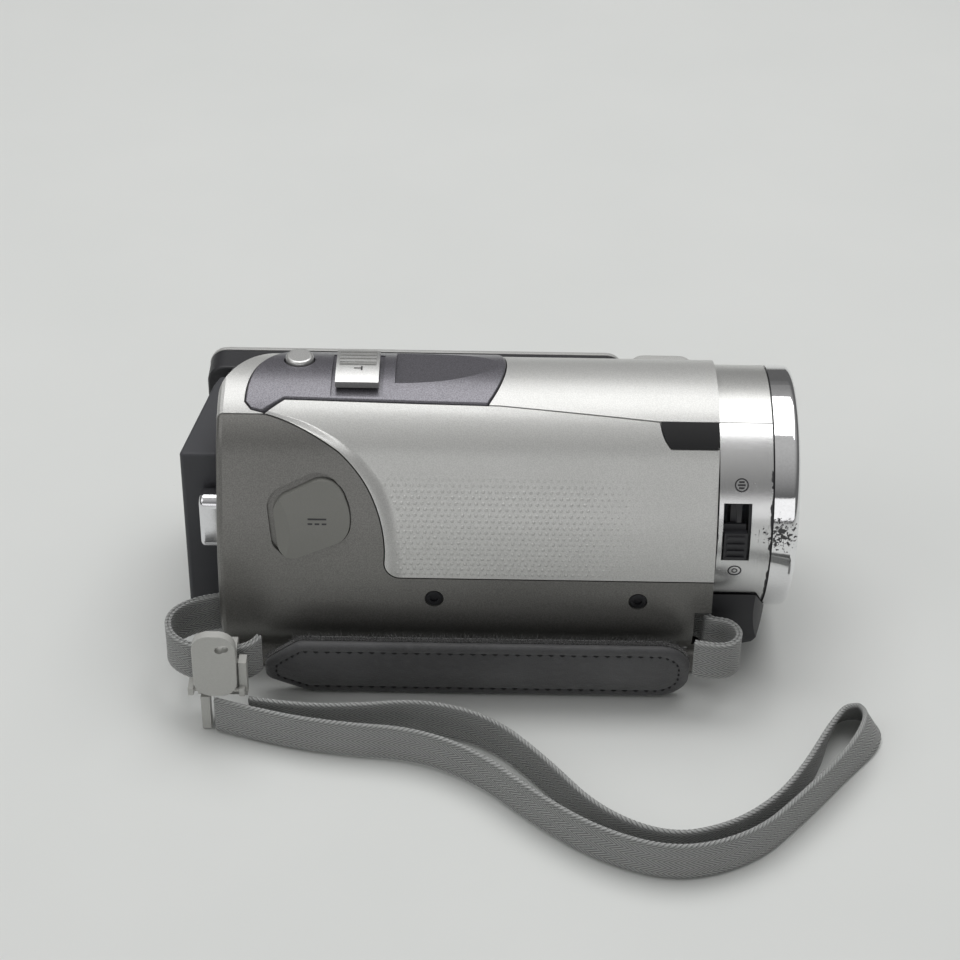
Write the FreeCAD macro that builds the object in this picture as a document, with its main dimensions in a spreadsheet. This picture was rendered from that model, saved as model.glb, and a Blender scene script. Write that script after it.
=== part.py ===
import FreeCAD, Part
import math
import os
import Sketcher

# Hand-held camcorder, millimetres.  +X points the way the lens looks, +Y to the screen side, +Z up.
# The origin is the mouth of the tripod socket, on the flat base.

os.makedirs("parts", exist_ok=True)
doc = FreeCAD.newDocument("camcorder")
V = FreeCAD.Vector

# ---------------------------------------------------------------- driving dimensions
DRIVING = (
    ("lens_height", 29.5, "lens axis above the base"),
    ("body_rear", -47.8, "rear edge of the shells"),
    ("body_front", 43.1, "front edge of the shells"),
    ("body_left", 16.0, "wall behind the screen"),
    ("crown_radius", 20.0, "top of the shells, which falls away towards the screen"),
    ("wall", 1.6, "thickness of the shells"),
    ("seam", 0.12, "half the gap between neighbouring covers"),
    ("fit", 0.3, "gap round a moving piece"),
    ("corner_radius", 3.0, "lower left corner of the shells"),
    ("edge_radius", 1.2, "rounded rear edge of the shells"),
    ("grip_low", 24.2, "seam under the grip panel"),
    ("ring_radius", 22.6, "outside of the lens ring"),
    ("ring_wall", 1.1, "wall of the sleeve"),
    ("ring_groove", 53.1, "groove between sleeve and chrome ring"),
    ("ring_front", 57.9, "front of the chrome ring"),
    ("barrel_radius", 12.5, "lens barrel"),
    ("barrel_rear", 10.0, "rear end of the lens barrel"),
    ("barrel_front", 44.6, "front end of the lens barrel"),
    ("glass_radius", 10.2, "front lens element"),
    ("blade_radius", 10.4, "half-round cover blade"),
    ("blade_arm", 18.5, "blade pivot from the lens axis"),
    ("blade_open", 33.0, "degrees a cover blade turns"),
    ("screen_rear", -53.0, "free end of the screen"),
    ("screen_front", 27.6, "hinged end of the screen"),
    ("screen_inner", 17.2, "screen face"),
    ("screen_split", 23.2, "joint between the screen's frame and its outer cover"),
    ("screen_outer", 25.2, "outer face of the screen"),
    ("screen_low", 4.0, "lower edge of the screen"),
    ("screen_top", 43.0, "upper edge of the screen"),
    ("screen_corner", 3.5, "corner radius of the screen"),
    ("hinge_x", 30.3, "screen hinge"),
    ("hinge_y", 22.9, "screen hinge"),
    ("pin_radius", 1.0, "screen hinge pin"),
    ("battery_front", -48.1, "mating face of the battery"),
    ("battery_rear", -55.1, "rear corner of the battery"),
    ("battery_right", -12.0, "grip side of the battery"),
    ("battery_left", 14.0, "screen side of the battery"),
    ("battery_low", 5.0, "foot of the battery"),
    ("battery_top", 43.0, "top of the battery"),
    ("web_width", 8.2, "strap webbing"),
    ("web_thick", 1.2, "double webbing of the hand strap"),
    ("cord_thick", 1.0, "webbing of the wrist strap"),
    ("pad_length", 78.5, "hand pad"),
    ("pad_height", 15.0, "hand pad"),
    ("pad_thick", 2.4, "hand pad"),
    ("lining_thick", 0.6, "fuzzy lining of the hand pad"),
    ("pad_corner", 6.0, "corner radius of the hand pad"),
    ("tripod_radius", 2.6, "thread wall of the quarter-inch tripod socket"),
    ("tripod_depth", 6.0, "depth of the tripod socket"),
)

sheet = doc.addObject("Spreadsheet::Sheet", "Sizes")
for row, (alias, number, meaning) in enumerate(DRIVING, start=1):
    sheet.set("A%d" % row, meaning)
    sheet.set("B%d" % row, str(number))
    sheet.setAlias("B%d" % row, alias)
doc.recompute()


class Size:
    """A number together with the sheet expression that gives it."""

    def __init__(self, number, text):
        self.number = float(number)
        self.text = text

    def __add__(self, other):
        other = as_size(other)
        return Size(self.number + other.number, "(%s + %s)" % (self.text, other.text))

    def __sub__(self, other):
        other = as_size(other)
        return Size(self.number - other.number, "(%s - %s)" % (self.text, other.text))

    def __mul__(self, factor):
        return Size(self.number * factor, "(%s * %s)" % (self.text, as_size(factor).text))

    def __neg__(self):
        return Size(-self.number, "(0 - %s)" % self.text)

    def __float__(self):
        return self.number


def as_size(value):
    if isinstance(value, Size):
        return value
    return Size(value, "(%r)" % float(value))


class Sheet:
    """Driving dimensions by name: d.wall is the size in the cell called wall."""

    def __getattr__(self, alias):
        return Size(sheet.get(alias), "Sizes." + alias)


d = Sheet()
PIECES = []


def piece(label, obj):
    """Name a finished sub-part: its label names its file."""
    obj.Label = label
    PIECES.append(obj)
    return obj


# ---------------------------------------------------------------- primitives and booleans
def block(name, x, y, z):
    box = doc.addObject("Part::Box", name)
    for prop, letter, (low, high) in zip(("Length", "Width", "Height"), "xyz", (x, y, z)):
        box.setExpression(prop, (as_size(high) - low).text)
        box.setExpression(".Placement.Base." + letter, as_size(low).text)
    return box


TURNS = {
    "X": FreeCAD.Rotation(V(0, 1, 0), 90),
    "Y": FreeCAD.Rotation(V(1, 0, 0), -90),
    "Z": FreeCAD.Rotation(),
}


def rod(name, axis, start, radius, length):
    """Cylinder that starts at a point and runs along a row axis."""
    cylinder = doc.addObject("Part::Cylinder", name)
    cylinder.Placement = FreeCAD.Placement(V(), TURNS[axis])
    cylinder.setExpression("Radius", as_size(radius).text)
    cylinder.setExpression("Height", as_size(length).text)
    for letter, value in zip("xyz", start):
        cylinder.setExpression(".Placement.Base." + letter, as_size(value).text)
    return cylinder


def cut(name, base, *tools):
    """Cuts made one after another."""
    result = base
    for tool in tools:
        step = doc.addObject("Part::Cut", name + "_cut")
        step.Base = result
        step.Tool = tool
        result = step
    return result


def fuse(name, *shapes):
    result = doc.addObject("Part::MultiFuse", name)
    result.Shapes = list(shapes)
    return result


def common(name, base, tool):
    result = doc.addObject("Part::Common", name)
    result.Base = base
    result.Tool = tool
    return result


def feature(name, shape):
    """Shape made by code, for the sculpted shells and bands that no primitive or sketch gives."""
    result = doc.addObject("Part::Feature", name)
    result.Shape = shape
    return result


def sector(name, x, radii, angles):
    """Part of a ring about the lens axis; angles in degrees above the horizontal on the grip side."""
    low, high = angles
    wedges = []
    for tag, radius in zip(("bore", "rim"), radii):
        wedge = rod(name + "_" + tag, "X", (x[0], 0, d.lens_height), radius, as_size(x[1]) - x[0])
        wedge.Angle = high - low
        start = math.radians(high)
        first = V(0, -math.cos(start), math.sin(start))
        second = V(1, 0, 0).cross(first)
        turn = FreeCAD.Rotation(first, second, V(1, 0, 0), "ZXY")
        wedge.Placement.Rotation = turn
        wedges.append(wedge)
    return cut(name, wedges[1], wedges[0])


def picked(base, choose):
    """Numbers of the edges of a solved object that a test accepts."""
    doc.recompute()
    return [number for number, edge in enumerate(base.Shape.Edges, start=1) if choose(edge)]


def rounded(name, base, radius, choose):
    """Fillet on the chosen edges."""
    result = doc.addObject("Part::Fillet", name)
    result.Base = base
    result.Edges = [(number, float(radius), float(radius)) for number in picked(base, choose)]
    return result


def along(letter):
    """Test for straight edges that run along a row axis."""
    direction = {"X": V(1, 0, 0), "Y": V(0, 1, 0), "Z": V(0, 0, 1)}[letter]

    def choose(edge):
        if edge.Curve.TypeId != "Part::GeomLine":
            return False
        return abs(edge.Curve.Direction.dot(direction)) > 0.999

    return choose


def on_plane(letter, value):
    """Test for edges that lie in a plane across a row axis."""
    low, high = letter + "Min", letter + "Max"

    def choose(edge):
        box = edge.BoundBox
        return abs(getattr(box, low) - float(value)) < 0.02 and abs(getattr(box, high) - float(value)) < 0.02

    return choose


# ---------------------------------------------------------------- sketched bodies
def new_sketch(body, role, name):
    sketch = body.newObject("Sketcher::SketchObject", name)
    plane = next(item for item in body.Origin.OriginFeatures if item.Role == role)
    sketch.AttachmentSupport = [(plane, "")]
    sketch.MapMode = "FlatFace"
    return sketch


def closed_outline(sketch, corners):
    """Straight-sided outline whose corners are all held by distances from the origin."""
    corners = [(as_size(a), as_size(b)) for a, b in corners]
    count = len(corners)
    first = sketch.GeometryCount
    for index, (a, b) in enumerate(corners):
        following = corners[(index + 1) % count]
        start = V(a.number, b.number, 0)
        end = V(following[0].number, following[1].number, 0)
        sketch.addGeometry(Part.LineSegment(start, end))
    for index in range(count):
        after = first + (index + 1) % count
        sketch.addConstraint(Sketcher.Constraint("Coincident", first + index, 2, after, 1))
    for index, pair in enumerate(corners):
        for kind, value in zip(("DistanceX", "DistanceY"), pair):
            constraint = Sketcher.Constraint(kind, -1, 1, first + index, 1, value.number)
            number = sketch.addConstraint(constraint)
            sketch.setExpression("Constraints[%d]" % number, value.text)


def circle(sketch, centre, radius):
    first = sketch.GeometryCount
    a, b, radius = (as_size(value) for value in (*centre, radius))
    sketch.addGeometry(Part.Circle(V(a.number, b.number, 0), V(0, 0, 1), radius.number))
    for kind, value in zip(("DistanceX", "DistanceY"), (a, b)):
        number = sketch.addConstraint(Sketcher.Constraint(kind, -1, 1, first, 3, value.number))
        sketch.setExpression("Constraints[%d]" % number, value.text)
    number = sketch.addConstraint(Sketcher.Constraint("Radius", first, radius.number))
    sketch.setExpression("Constraints[%d]" % number, radius.text)


def plate(name, role, corners, start, length, holes=()):
    """Outline padded along its plane's normal (XZ looks along -Y); holes are (centre, radius)."""
    body = doc.addObject("PartDesign::Body", name)
    sketch = new_sketch(body, role, name + "_outline")
    closed_outline(sketch, corners)
    for centre, radius in holes:
        circle(sketch, centre, radius)
    sketch.setExpression(".AttachmentOffset.Base.z", as_size(start).text)
    pad = body.newObject("PartDesign::Pad", name + "_pad")
    pad.Profile = sketch
    pad.setExpression("Length", as_size(length).text)
    return body


def disc(name, role, centre, radius, start, length):
    """Round pad across a row axis."""
    body = doc.addObject("PartDesign::Body", name)
    sketch = new_sketch(body, role, name + "_outline")
    circle(sketch, centre, radius)
    sketch.setExpression(".AttachmentOffset.Base.z", as_size(start).text)
    pad = body.newObject("PartDesign::Pad", name + "_pad")
    pad.Profile = sketch
    pad.setExpression("Length", as_size(length).text)
    return body


def turned(name, corners):
    """Outline of (x, radius) corners revolved about the lens axis."""
    body = doc.addObject("PartDesign::Body", name)
    sketch = new_sketch(body, "XZ_Plane", name + "_outline")
    closed_outline(sketch, corners)
    ring = body.newObject("PartDesign::Revolution", name + "_turn")
    ring.Profile = sketch
    ring.ReferenceAxis = (sketch, ["H_Axis"])
    ring.Angle = 360
    body.setExpression(".Placement.Base.z", d.lens_height.text)
    return body


def body_fillet(body, radius, choose):
    """Rounded edges on a sketched body."""
    doc.recompute()
    base = body.Tip
    names = ["Edge%d" % number for number in picked(base, choose)]
    result = body.newObject("PartDesign::Fillet", body.Name + "_round%d" % len(body.Group))
    result.Base = (base, names)
    result.setExpression("Radius", as_size(radius).text)
    body.Tip = result
    return body


def rectangle(a, b):
    return [(a[0], b[0]), (a[1], b[0]), (a[1], b[1]), (a[0], b[1])]


# ---------------------------------------------------------------- section of the shells
# Right-hand side from the crown to the base: a ridge, a shallow valley, the grip and the rounded foot.
SIDE = ((-6.0, 53.77), (-11.2, 51.6), (-15.0, 48.0), (-17.9, 42.0), (-20.6, 36.0), (-23.4, 26.0),
        (-24.2, 17.5), (-22.9, 9.5), (-18.6, 3.2), (-9.0, 0.0))


def spline(points, first=None, last=None):
    curve = Part.BSplineCurve()
    if first is None:
        curve.interpolate(Points=points)
    else:
        curve.interpolate(Points=points, InitialTangent=first, FinalTangent=last)
    return curve


def crown_centre(x):
    """Centre of the crown, which meets the side curve square to a line from the lens axis."""
    y, z = SIDE[0]
    radial = V(0, y, z - float(d.lens_height)).normalize()
    return V(x, y, z) - radial * float(d.crown_radius)


def section_face(x, inset):
    """Section of the shells at x, moved inwards by inset."""
    centre, crown = crown_centre(x), float(d.crown_radius)
    left, corner = float(d.body_left), float(d.corner_radius)
    points = [V(x, y, z) for y, z in SIDE]
    radial = (points[0] - centre).normalize()
    first = V(1, 0, 0).cross(radial)
    last = V(0, 1, 0)
    outer = spline(points, first, last)
    moved = []
    for point in points:
        tangent = outer.tangent(outer.parameter(point))[0].normalize()
        moved.append(point + V(1, 0, 0).cross(tangent) * inset)
    side = spline(moved, first, last)
    edge_y, radius = left - inset, crown - inset
    top_left = V(x, edge_y, centre.z + math.sqrt(radius ** 2 - (edge_y - centre.y) ** 2))
    top = V(x, centre.y, centre.z + radius)
    bend = corner - inset * 0.5
    foot = V(x, edge_y - bend, inset)
    heel = V(x, edge_y, inset + bend)
    slack = bend * (1 - math.sqrt(0.5))
    knee = V(x, edge_y - slack, inset + slack)
    edges = [
        Part.Arc(top_left, top, moved[0]).toShape(),
        side.toShape(),
        Part.LineSegment(moved[-1], foot).toShape(),
        Part.Arc(foot, knee, heel).toShape(),
        Part.LineSegment(heel, top_left).toShape(),
    ]
    return Part.Face(Part.Wire(edges))


def section_solid(low, high, inset):
    """Filled section between two stations along the body."""
    return section_face(float(low), inset).extrude(V(float(high) - float(low), 0, 0))


def section_shell(low, high, outside, inside):
    """Hollow section: skin between two insets."""
    outer = section_solid(low, high, outside)
    inner = section_solid(float(low) - 1, float(high) + 1, inside)
    return outer.cut(inner)


def prism(plane, edges, low, high, grow=0.0):
    """Closed outline in a row plane, grown sideways and extruded across the plane."""
    wire = Part.Wire(edges)
    if grow:
        wire = wire.makeOffset2D(grow)
    across = {"XZ": V(0, 1, 0), "XY": V(0, 0, 1)}[plane]
    wire.translate(across * low)
    return Part.Face(wire).extrude(across * (high - low))


def polyline(points):
    return [Part.LineSegment(a, b).toShape() for a, b in zip(points[:-1], points[1:])]


REACH = 70.0        # beyond every face of the body
WALL_TOP = 44.0     # seam under the top cover on the screen side


def xz(points):
    return [V(a, 0, b) for a, b in points]


def xy(points):
    return [V(a, b, 0) for a, b in points]


def arcs(points):
    """Arcs through every three points, each starting where the one before ends."""
    starts = range(0, len(points) - 2, 2)
    return [Part.Arc(points[i], points[i + 1], points[i + 2]).toShape() for i in starts]


def grip_region(grow):
    """Side view of the grip panel: swept rear edge, rounded into the lower seam."""
    low, bend = float(d.grip_low), 3.0
    rest = bend * (1 - math.sqrt(0.5))
    sweep = xz([(-39.4, 51.6), (-31.8, 49.75), (-25.6, 46.7), (-19.6, 39.3), (-17.3, low + bend),
                (-17.3 + rest, low + rest), (-17.3 + bend, low)])
    outside = polyline([sweep[-1], V(REACH, 0, low), V(REACH, 0, REACH), V(-39.4, 0, REACH), sweep[0]])
    return prism("XZ", arcs(sweep) + outside, -REACH, 0.0, grow)


def plan_region(reach, grow):
    """Plan of everything on one side of the long upper seam, as far as y = reach."""
    line = xy([(-REACH, -11.2), (-39.4, -11.2), (-35.6, -8.4), (-11.0, -8.9), (3.4, -9.1), (32.3, -11.5),
               (REACH, -11.5), (REACH, reach), (-REACH, reach), (-REACH, -11.2)])
    return prism("XY", polyline(line), -REACH, REACH, grow)


def panel_region(grow):
    """Plan of the control panel on the crown."""
    near = xy([(-42.8, -9.0), (-41.6, -10.4), (-39.4, -10.9), (-35.6, -8.4), (-11.0, -8.9), (1.2, -9.1)])
    nose = xy([(1.2, -9.1), (4.0, -2.4), (1.4, 13.6)])
    rear = xy([(-30.2, 13.6), (-38.4, 5.6), (-42.8, -9.0)])
    edges = polyline(near) + arcs(nose) + polyline([nose[-1], rear[0]]) + arcs(rear)
    return prism("XY", edges, float(d.lens_height), REACH, grow)


def rear_region(grow):
    """Plan of the space behind the top cover, whose rear end sweeps forward towards the screen."""
    sweep = xy([(-48.6, -8.4), (-42.6, 4.2), (-31.0, 16.6)])
    rest = xy([(-31.0, 16.6), (-31.0, REACH), (-REACH, REACH), (-REACH, -8.4), (-48.6, -8.4)])
    return prism("XY", arcs(sweep) + polyline(rest), WALL_TOP, REACH, grow)


def accent_region(grow):
    """Side view of the gloss inlay at the front end of the grip panel."""
    slant = xz([(34.4, 47.9), (32.9, 49.9), (32.3, 53.0)])
    rest = polyline(xz([(32.3, 53.0), (REACH, 53.0), (REACH, 47.9), (34.4, 47.9)]))
    return prism("XZ", arcs(slant) + rest, -REACH, -11.5, grow)


def dc_region(grow):
    """Side view of the power socket's cover: straight at its rear edge, broad and round towards the lens."""
    rear_top = xz([(-37.4, 36.6), (-36.6, 38.4), (-34.6, 39.7)])
    front = xz([(-30.6, 41.5), (-26.6, 41.6), (-24.3, 38.9), (-23.5, 36.2), (-23.7, 33.6), (-24.4, 32.3),
                (-25.9, 31.2)])
    rear_foot = xz([(-32.6, 28.5), (-35.2, 28.5), (-36.6, 30.2)])
    edges = arcs(rear_top) + polyline([rear_top[-1], front[0]]) + arcs(front)
    edges += polyline([front[-1], rear_foot[0]]) + arcs(rear_foot) + polyline([rear_foot[-1], rear_top[0]])
    return prism("XZ", edges, -REACH, -10.0, grow)


def leaning_prism(corners):
    """Upright prism on a plan outline, leaned with the side wall about the power socket."""
    solid = Part.Face(Part.makePolygon(xy(corners + corners[:1]))).extrude(V(0, 0, REACH))
    solid.translate(V(0, 0, DC_CENTRE.z - REACH / 2))
    lean = math.degrees(math.atan2(-DC_NORMAL.z, -DC_NORMAL.y))
    solid.rotate(DC_CENTRE, V(1, 0, 0), lean)
    return solid


seam = float(d.seam)
wall = float(d.wall)
lens_z = float(d.lens_height)


def rounded_hull():
    """Filled section whose rear edge is rounded in three short lofted steps."""
    rear, radius = float(d.body_rear), float(d.edge_radius)
    solid = section_solid(rear + radius, d.body_front, 0.0)
    steps = 3
    stations = []
    for step in range(steps + 1):
        angle = math.pi / 2 * step / steps
        inset = radius * (1 - math.sin(angle))
        stations.append(section_face(rear + radius * (1 - math.cos(angle)), inset).OuterWire)
    return solid.fuse(Part.makeLoft(stations, True, True))


# ---------------------------------------------------------------- shells
hollow = section_solid(float(d.body_rear) - 1, float(d.body_front) + 1, wall)
tube = feature("shell_tube", rounded_hull().cut(hollow))

BASE_SIDES = (-12.0, 12.4)

base_zone = block("base_zone", (-REACH, REACH), BASE_SIDES, (-1, 3.0))
wall_zone = block("wall_zone", (-REACH, REACH), (BASE_SIDES[1] + 0.2, REACH), (-1, WALL_TOP))
under_top = block("under_top", (-REACH, REACH), (-REACH, REACH), (-1, WALL_TOP + 0.2))
grip_side = feature("grip_side", plan_region(-REACH, seam))
screen_side = feature("screen_side", plan_region(REACH, seam))
grip_zone = feature("grip_zone", grip_region(-seam))
round_grip = feature("round_grip", grip_region(seam))
accent_zone = feature("accent_zone", accent_region(-seam))
round_accent = feature("round_accent", accent_region(seam))
round_panel = feature("round_panel", panel_region(seam))

PANEL_RISE = 0.35
LEVER_X = (-26.6, -18.7)
LEVER_BED = (24.4, 27.0)


def make_top_cover():
    cover = cut("cover_shell", tube, grip_side, under_top, round_panel)
    filled = section_solid(float(d.body_rear) + 0.6, -28.0, 0.8)
    below = Part.makeBox(2 * REACH, 2 * REACH, REACH, V(-REACH, -REACH, WALL_TOP + 0.2 - REACH))
    others = (plan_region(-REACH, 0.4), below, panel_region(seam))
    rear_wall = feature("rear_wall", filled.common(rear_region(wall)).cut(others))
    whole = fuse("cover_solid", cover, rear_wall)
    piece("top_cover", cut("top_cover", whole, feature("rear_space", rear_region(0.0))))


def make_control_panel():
    skin = section_shell(-44.5, 6.0, -PANEL_RISE, wall + 0.1)
    raised = feature("panel_skin", skin.common(panel_region(-seam)))
    raised = rounded("panel_edge", raised, 0.3, outer_rim)
    finger_rest = feature("finger_rest", finger_scoop())
    lever_bed = sector("lever_bed", (LEVER_X[0] - 0.8, LEVER_X[1] + 0.8), LEVER_BED, (71.6, 104.0))
    lever_slot = sector("lever_slot", (LEVER_X[0] + 1.6, LEVER_X[1] - 1.6), (20.0, 27.0), (78.4, 97.6))
    button_hole = rod("snapshot_hole", "Z", (-33.6, 2.6, lens_z), 2.9, 30)
    piece("control_panel", cut("control_panel", raised, finger_rest, lever_bed, lever_slot, button_hole))


def finger_scoop():
    """Hollow for the finger: deepest against a step at its rear, running out towards the lens."""
    rear, radius, depth, turn = -15.8, 150.0, 1.15, math.radians(9.5)
    outward = V(0, math.sin(turn), math.cos(turn))
    across = V(0, math.cos(turn), -math.sin(turn))
    middle = crown_centre(rear) + outward * (float(d.crown_radius) + PANEL_RISE - depth + radius)
    roller = Part.makeCylinder(radius, 40, middle - across * 20, across)
    return roller.common(Part.makeBox(22.0, 40.0, 20.0, V(rear, -20.0, lens_z + 12.0)))


def outer_rim(edge):
    """Edges of the panel's proud outer face."""
    radius, centre = float(d.crown_radius) + PANEL_RISE, crown_centre(0)
    middle = edge.valueAt((edge.FirstParameter + edge.LastParameter) / 2)
    for point in [vertex.Point for vertex in edge.Vertexes] + [middle]:
        if abs(math.hypot(point.y - centre.y, point.z - centre.z) - radius) > 0.02:
            return False
    return True


SCREW_X = (-8.1, 29.4)
SCREW_Z = 19.8
RECESS_FLOOR = -23.2
FRONT_SLOT_X = (40.0, 44.0)
STRAP_Z = (8.4, 16.6)
STRAP_BARS = ((39.2, -18.2, 4.8), (-45.0, -19.1, 7.0))      # place, and height of the foot
BAR_TOP = 18.0
BAR_RADIUS = 0.9


def make_side_covers():
    right = cut("right_shell", tube, screen_side)
    grip = common("grip_shell", right, grip_zone)
    piece("grip_cover", cut("grip_cover", grip, round_accent))
    recesses = [rod("screw_recess", "Y", (x, -30, SCREW_Z), 1.75, RECESS_FLOOR + 30) for x in SCREW_X]
    recesses += [rod("screw_hole", "Y", (x, -30, SCREW_Z), 0.95, 15) for x in SCREW_X]
    slot_z = (STRAP_Z[0] - 0.5, STRAP_Z[1] + 0.9)
    strap_slot = block("front_slot", FRONT_SLOT_X, (-30, -18), slot_z)
    dc_skin = section_shell(-40, -20, -2.0, 0.9)
    opened = dc_region(0.25)
    shifted = opened.translated(V(-0.9, 0, 0.9))
    dc_recess = feature("dc_recess", opened.fuse(shifted).common(dc_skin))
    dc_hole = feature("dc_hole", leaning_rod(3.4, -3.0, 6.0))
    sockets = [rod("bar_socket", "Z", (x, y, foot - 0.1), BAR_RADIUS + 0.05, BAR_TOP - foot + 0.2)
               for x, y, foot in STRAP_BARS]
    tools = recesses + sockets + [strap_slot, dc_recess, dc_hole, base_zone, round_grip]
    piece("side_cover", cut("side_cover", right, *tools))


# The power socket stands square to the leaning side wall.
DC_CENTRE = V(-30.4, -20.95, 35.2)
DC_NORMAL = V(0, -0.952, 0.307)


def leaning_rod(radius, depth, length):
    """Cylinder along the side wall's normal; depth below the skin is negative."""
    return Part.makeCylinder(radius, length, DC_CENTRE + DC_NORMAL * depth, DC_NORMAL)


def make_accent():
    skin = section_shell(30.0, float(d.body_front) - 0.1, -0.05, 1.5)
    piece("accent_window", common("accent_window", feature("accent_skin", skin), accent_zone))


DOOR_X = (-34.6, -7.4)
DOOR_Y = (4.4, 11.2)
DOOR_Z = (0.2, 1.4)
LATCH_X = (-43.6, -39.6)
LATCH_Y = (-5.0, 3.0)
BASE_SCREWS = ((-30.0, -8.0), (30.0, -8.0), (30.0, 8.0))


def make_base():
    door_x = (-d.fit + DOOR_X[0], d.fit + DOOR_X[1])
    door_gap = block("door_gap", door_x, (-d.fit + DOOR_Y[0], 12.1), (-1, 3))
    latch_x = (-d.fit + LATCH_X[0], d.fit + LATCH_X[1])
    latch_gap = block("latch_gap", latch_x, (-d.fit + LATCH_Y[0], LATCH_Y[1] + 3.0), (-1, 3))
    socket = rod("bush_hole", "Z", (0, 0, -1), 5.2, 4)
    screws = [rod("base_screw_hole", "Z", (x, y, -1), 1.7, 4) for x, y in BASE_SCREWS]
    shell = common("base_shell", tube, base_zone)
    piece("base_plate", cut("base_plate", shell, door_gap, latch_gap, socket, *screws))
    bush = disc("bush_blank", "XY_Plane", (0, 0), 5.2, 0, d.tripod_depth + 1.4)
    bore = bush.newObject("Sketcher::SketchObject", "bush_bore")
    plane = next(item for item in bush.Origin.OriginFeatures if item.Role == "XY_Plane")
    bore.AttachmentSupport = [(plane, "")]
    bore.MapMode = "FlatFace"
    circle(bore, (0, 0), d.tripod_radius)
    doc.recompute()
    pocket = bush.newObject("PartDesign::Pocket", "bush_pocket")
    pocket.Profile = bore
    pocket.Reversed = True
    pocket.setExpression("Length", d.tripod_depth.text)
    bush.Tip = pocket
    piece("tripod_bush", bush)


BUTTONS = (("mode_button", 20.0, 31.0, 2.6), ("power_button", 20.0, 20.0, 2.0))
SPEAKER = (4.0, 24.0)


def make_bay():
    holes = [rod(name + "_hole", "Y", (x, 10, z), d.fit + radius, 10) for name, x, z, radius in BUTTONS]
    for step in range(-2, 3):
        for rise in range(-2, 3):
            if abs(step) + abs(rise) < 4:
                at = (SPEAKER[0] + step * 1.8, 10, SPEAKER[1] + rise * 1.8)
                holes.append(rod("speaker_hole", "Y", at, 0.5, 10))
    shell = common("wall_shell", tube, wall_zone)
    piece("bay_wall", cut("bay_wall", shell, *holes))
    for name, x, z, radius in BUTTONS:
        button = disc(name, "XZ_Plane", (x, z), radius, -(d.body_left + 0.5), 2.1)
        piece(name, body_fillet(button, 0.3, on_plane("Y", d.body_left + 0.5)))
    cone = rod("speaker_cone", "Y", (SPEAKER[0], 13.95, SPEAKER[1]), 7.0, 0.4)
    piece("speaker", cone)


RECORD_Y = (-17.6, -12.5)
RECORD_Z = (25.3, 36.8)
CONTACT_Z = (16.0, 20.0, 24.0)


def make_ends():
    upright = section_solid(-47.5, -46.0, wall + 0.1).cut(rear_region(wall + 0.1))
    shelf_room = Part.makeBox(20.0, 22.6, 0.9, V(-47.4, -8.6, WALL_TOP - 0.9))
    shelf = section_solid(-47.4, -27.4, wall + 0.1).common(shelf_room)
    rear = feature("rear_blank", upright.fuse(shelf).removeSplitter())
    hole_y = (-d.fit + RECORD_Y[0], d.fit + RECORD_Y[1])
    hole_z = (-d.fit + RECORD_Z[0], d.fit + RECORD_Z[1])
    button = block("record_hole", (-50, -44), hole_y, hole_z)
    web = block("rear_slot", (-50, -44), (-20.4, -18.2), (STRAP_Z[0] - 0.6, STRAP_Z[1] + 0.5))
    contact_gap = block("contact_gap", (-50, -44), (-1.7, 1.7), (CONTACT_Z[0] - 1.4, CONTACT_Z[-1] + 1.4))
    piece("rear_frame", cut("rear_frame", rear, button, web, contact_gap))
    blades = [block("contact_%d" % index, (-47.9, -44.5), (-1.2, 1.2), (z - 0.6, z + 0.6))
              for index, z in enumerate(CONTACT_Z)]
    holder = block("contact_holder", (-45.9, -43.9), (-4.0, 4.0), (CONTACT_Z[0] - 3.0, CONTACT_Z[-1] + 3.0))
    piece("battery_contacts", fuse("battery_contacts", holder, *blades))
    front = feature("front_blank", section_solid(41.2, 42.8, wall + 0.1))
    mouth = rod("barrel_mouth", "X", (40, 0, d.lens_height), d.barrel_radius + 0.1, 5)
    strap_way = block("strap_way", (40, 44), (-30, -18.6), (STRAP_Z[0] - 0.5, STRAP_Z[1] + 0.9))
    piece("front_frame", cut("front_frame", front, mouth, strap_way))


def make_hinge_cover():
    low, top = 3.5, 42.4
    body = plate("hinge_block", "XY_Plane", rectangle((29.0, 40.8), (16.2, 25.0)), low, top - low)
    body = body_fillet(body, 2.6, lambda edge: along("Z")(edge) and edge.BoundBox.YMin > 20)
    body = body_fillet(body, 0.8, lambda edge: on_plane("Z", top)(edge) or on_plane("Z", low)(edge))
    notch = block("arm_notch", (26, 32.7), (20.5, 27), (11.8, 34.2))
    bore = rod("pin_bore", "Z", (d.hinge_x, d.hinge_y, 8.0), d.pin_radius, 30.0)
    piece("hinge_cover", cut("hinge_cover", body, notch, bore))
    piece("hinge_pin", rod("hinge_pin", "Z", (d.hinge_x, d.hinge_y, 8.0), d.pin_radius, 30.0))


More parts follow.
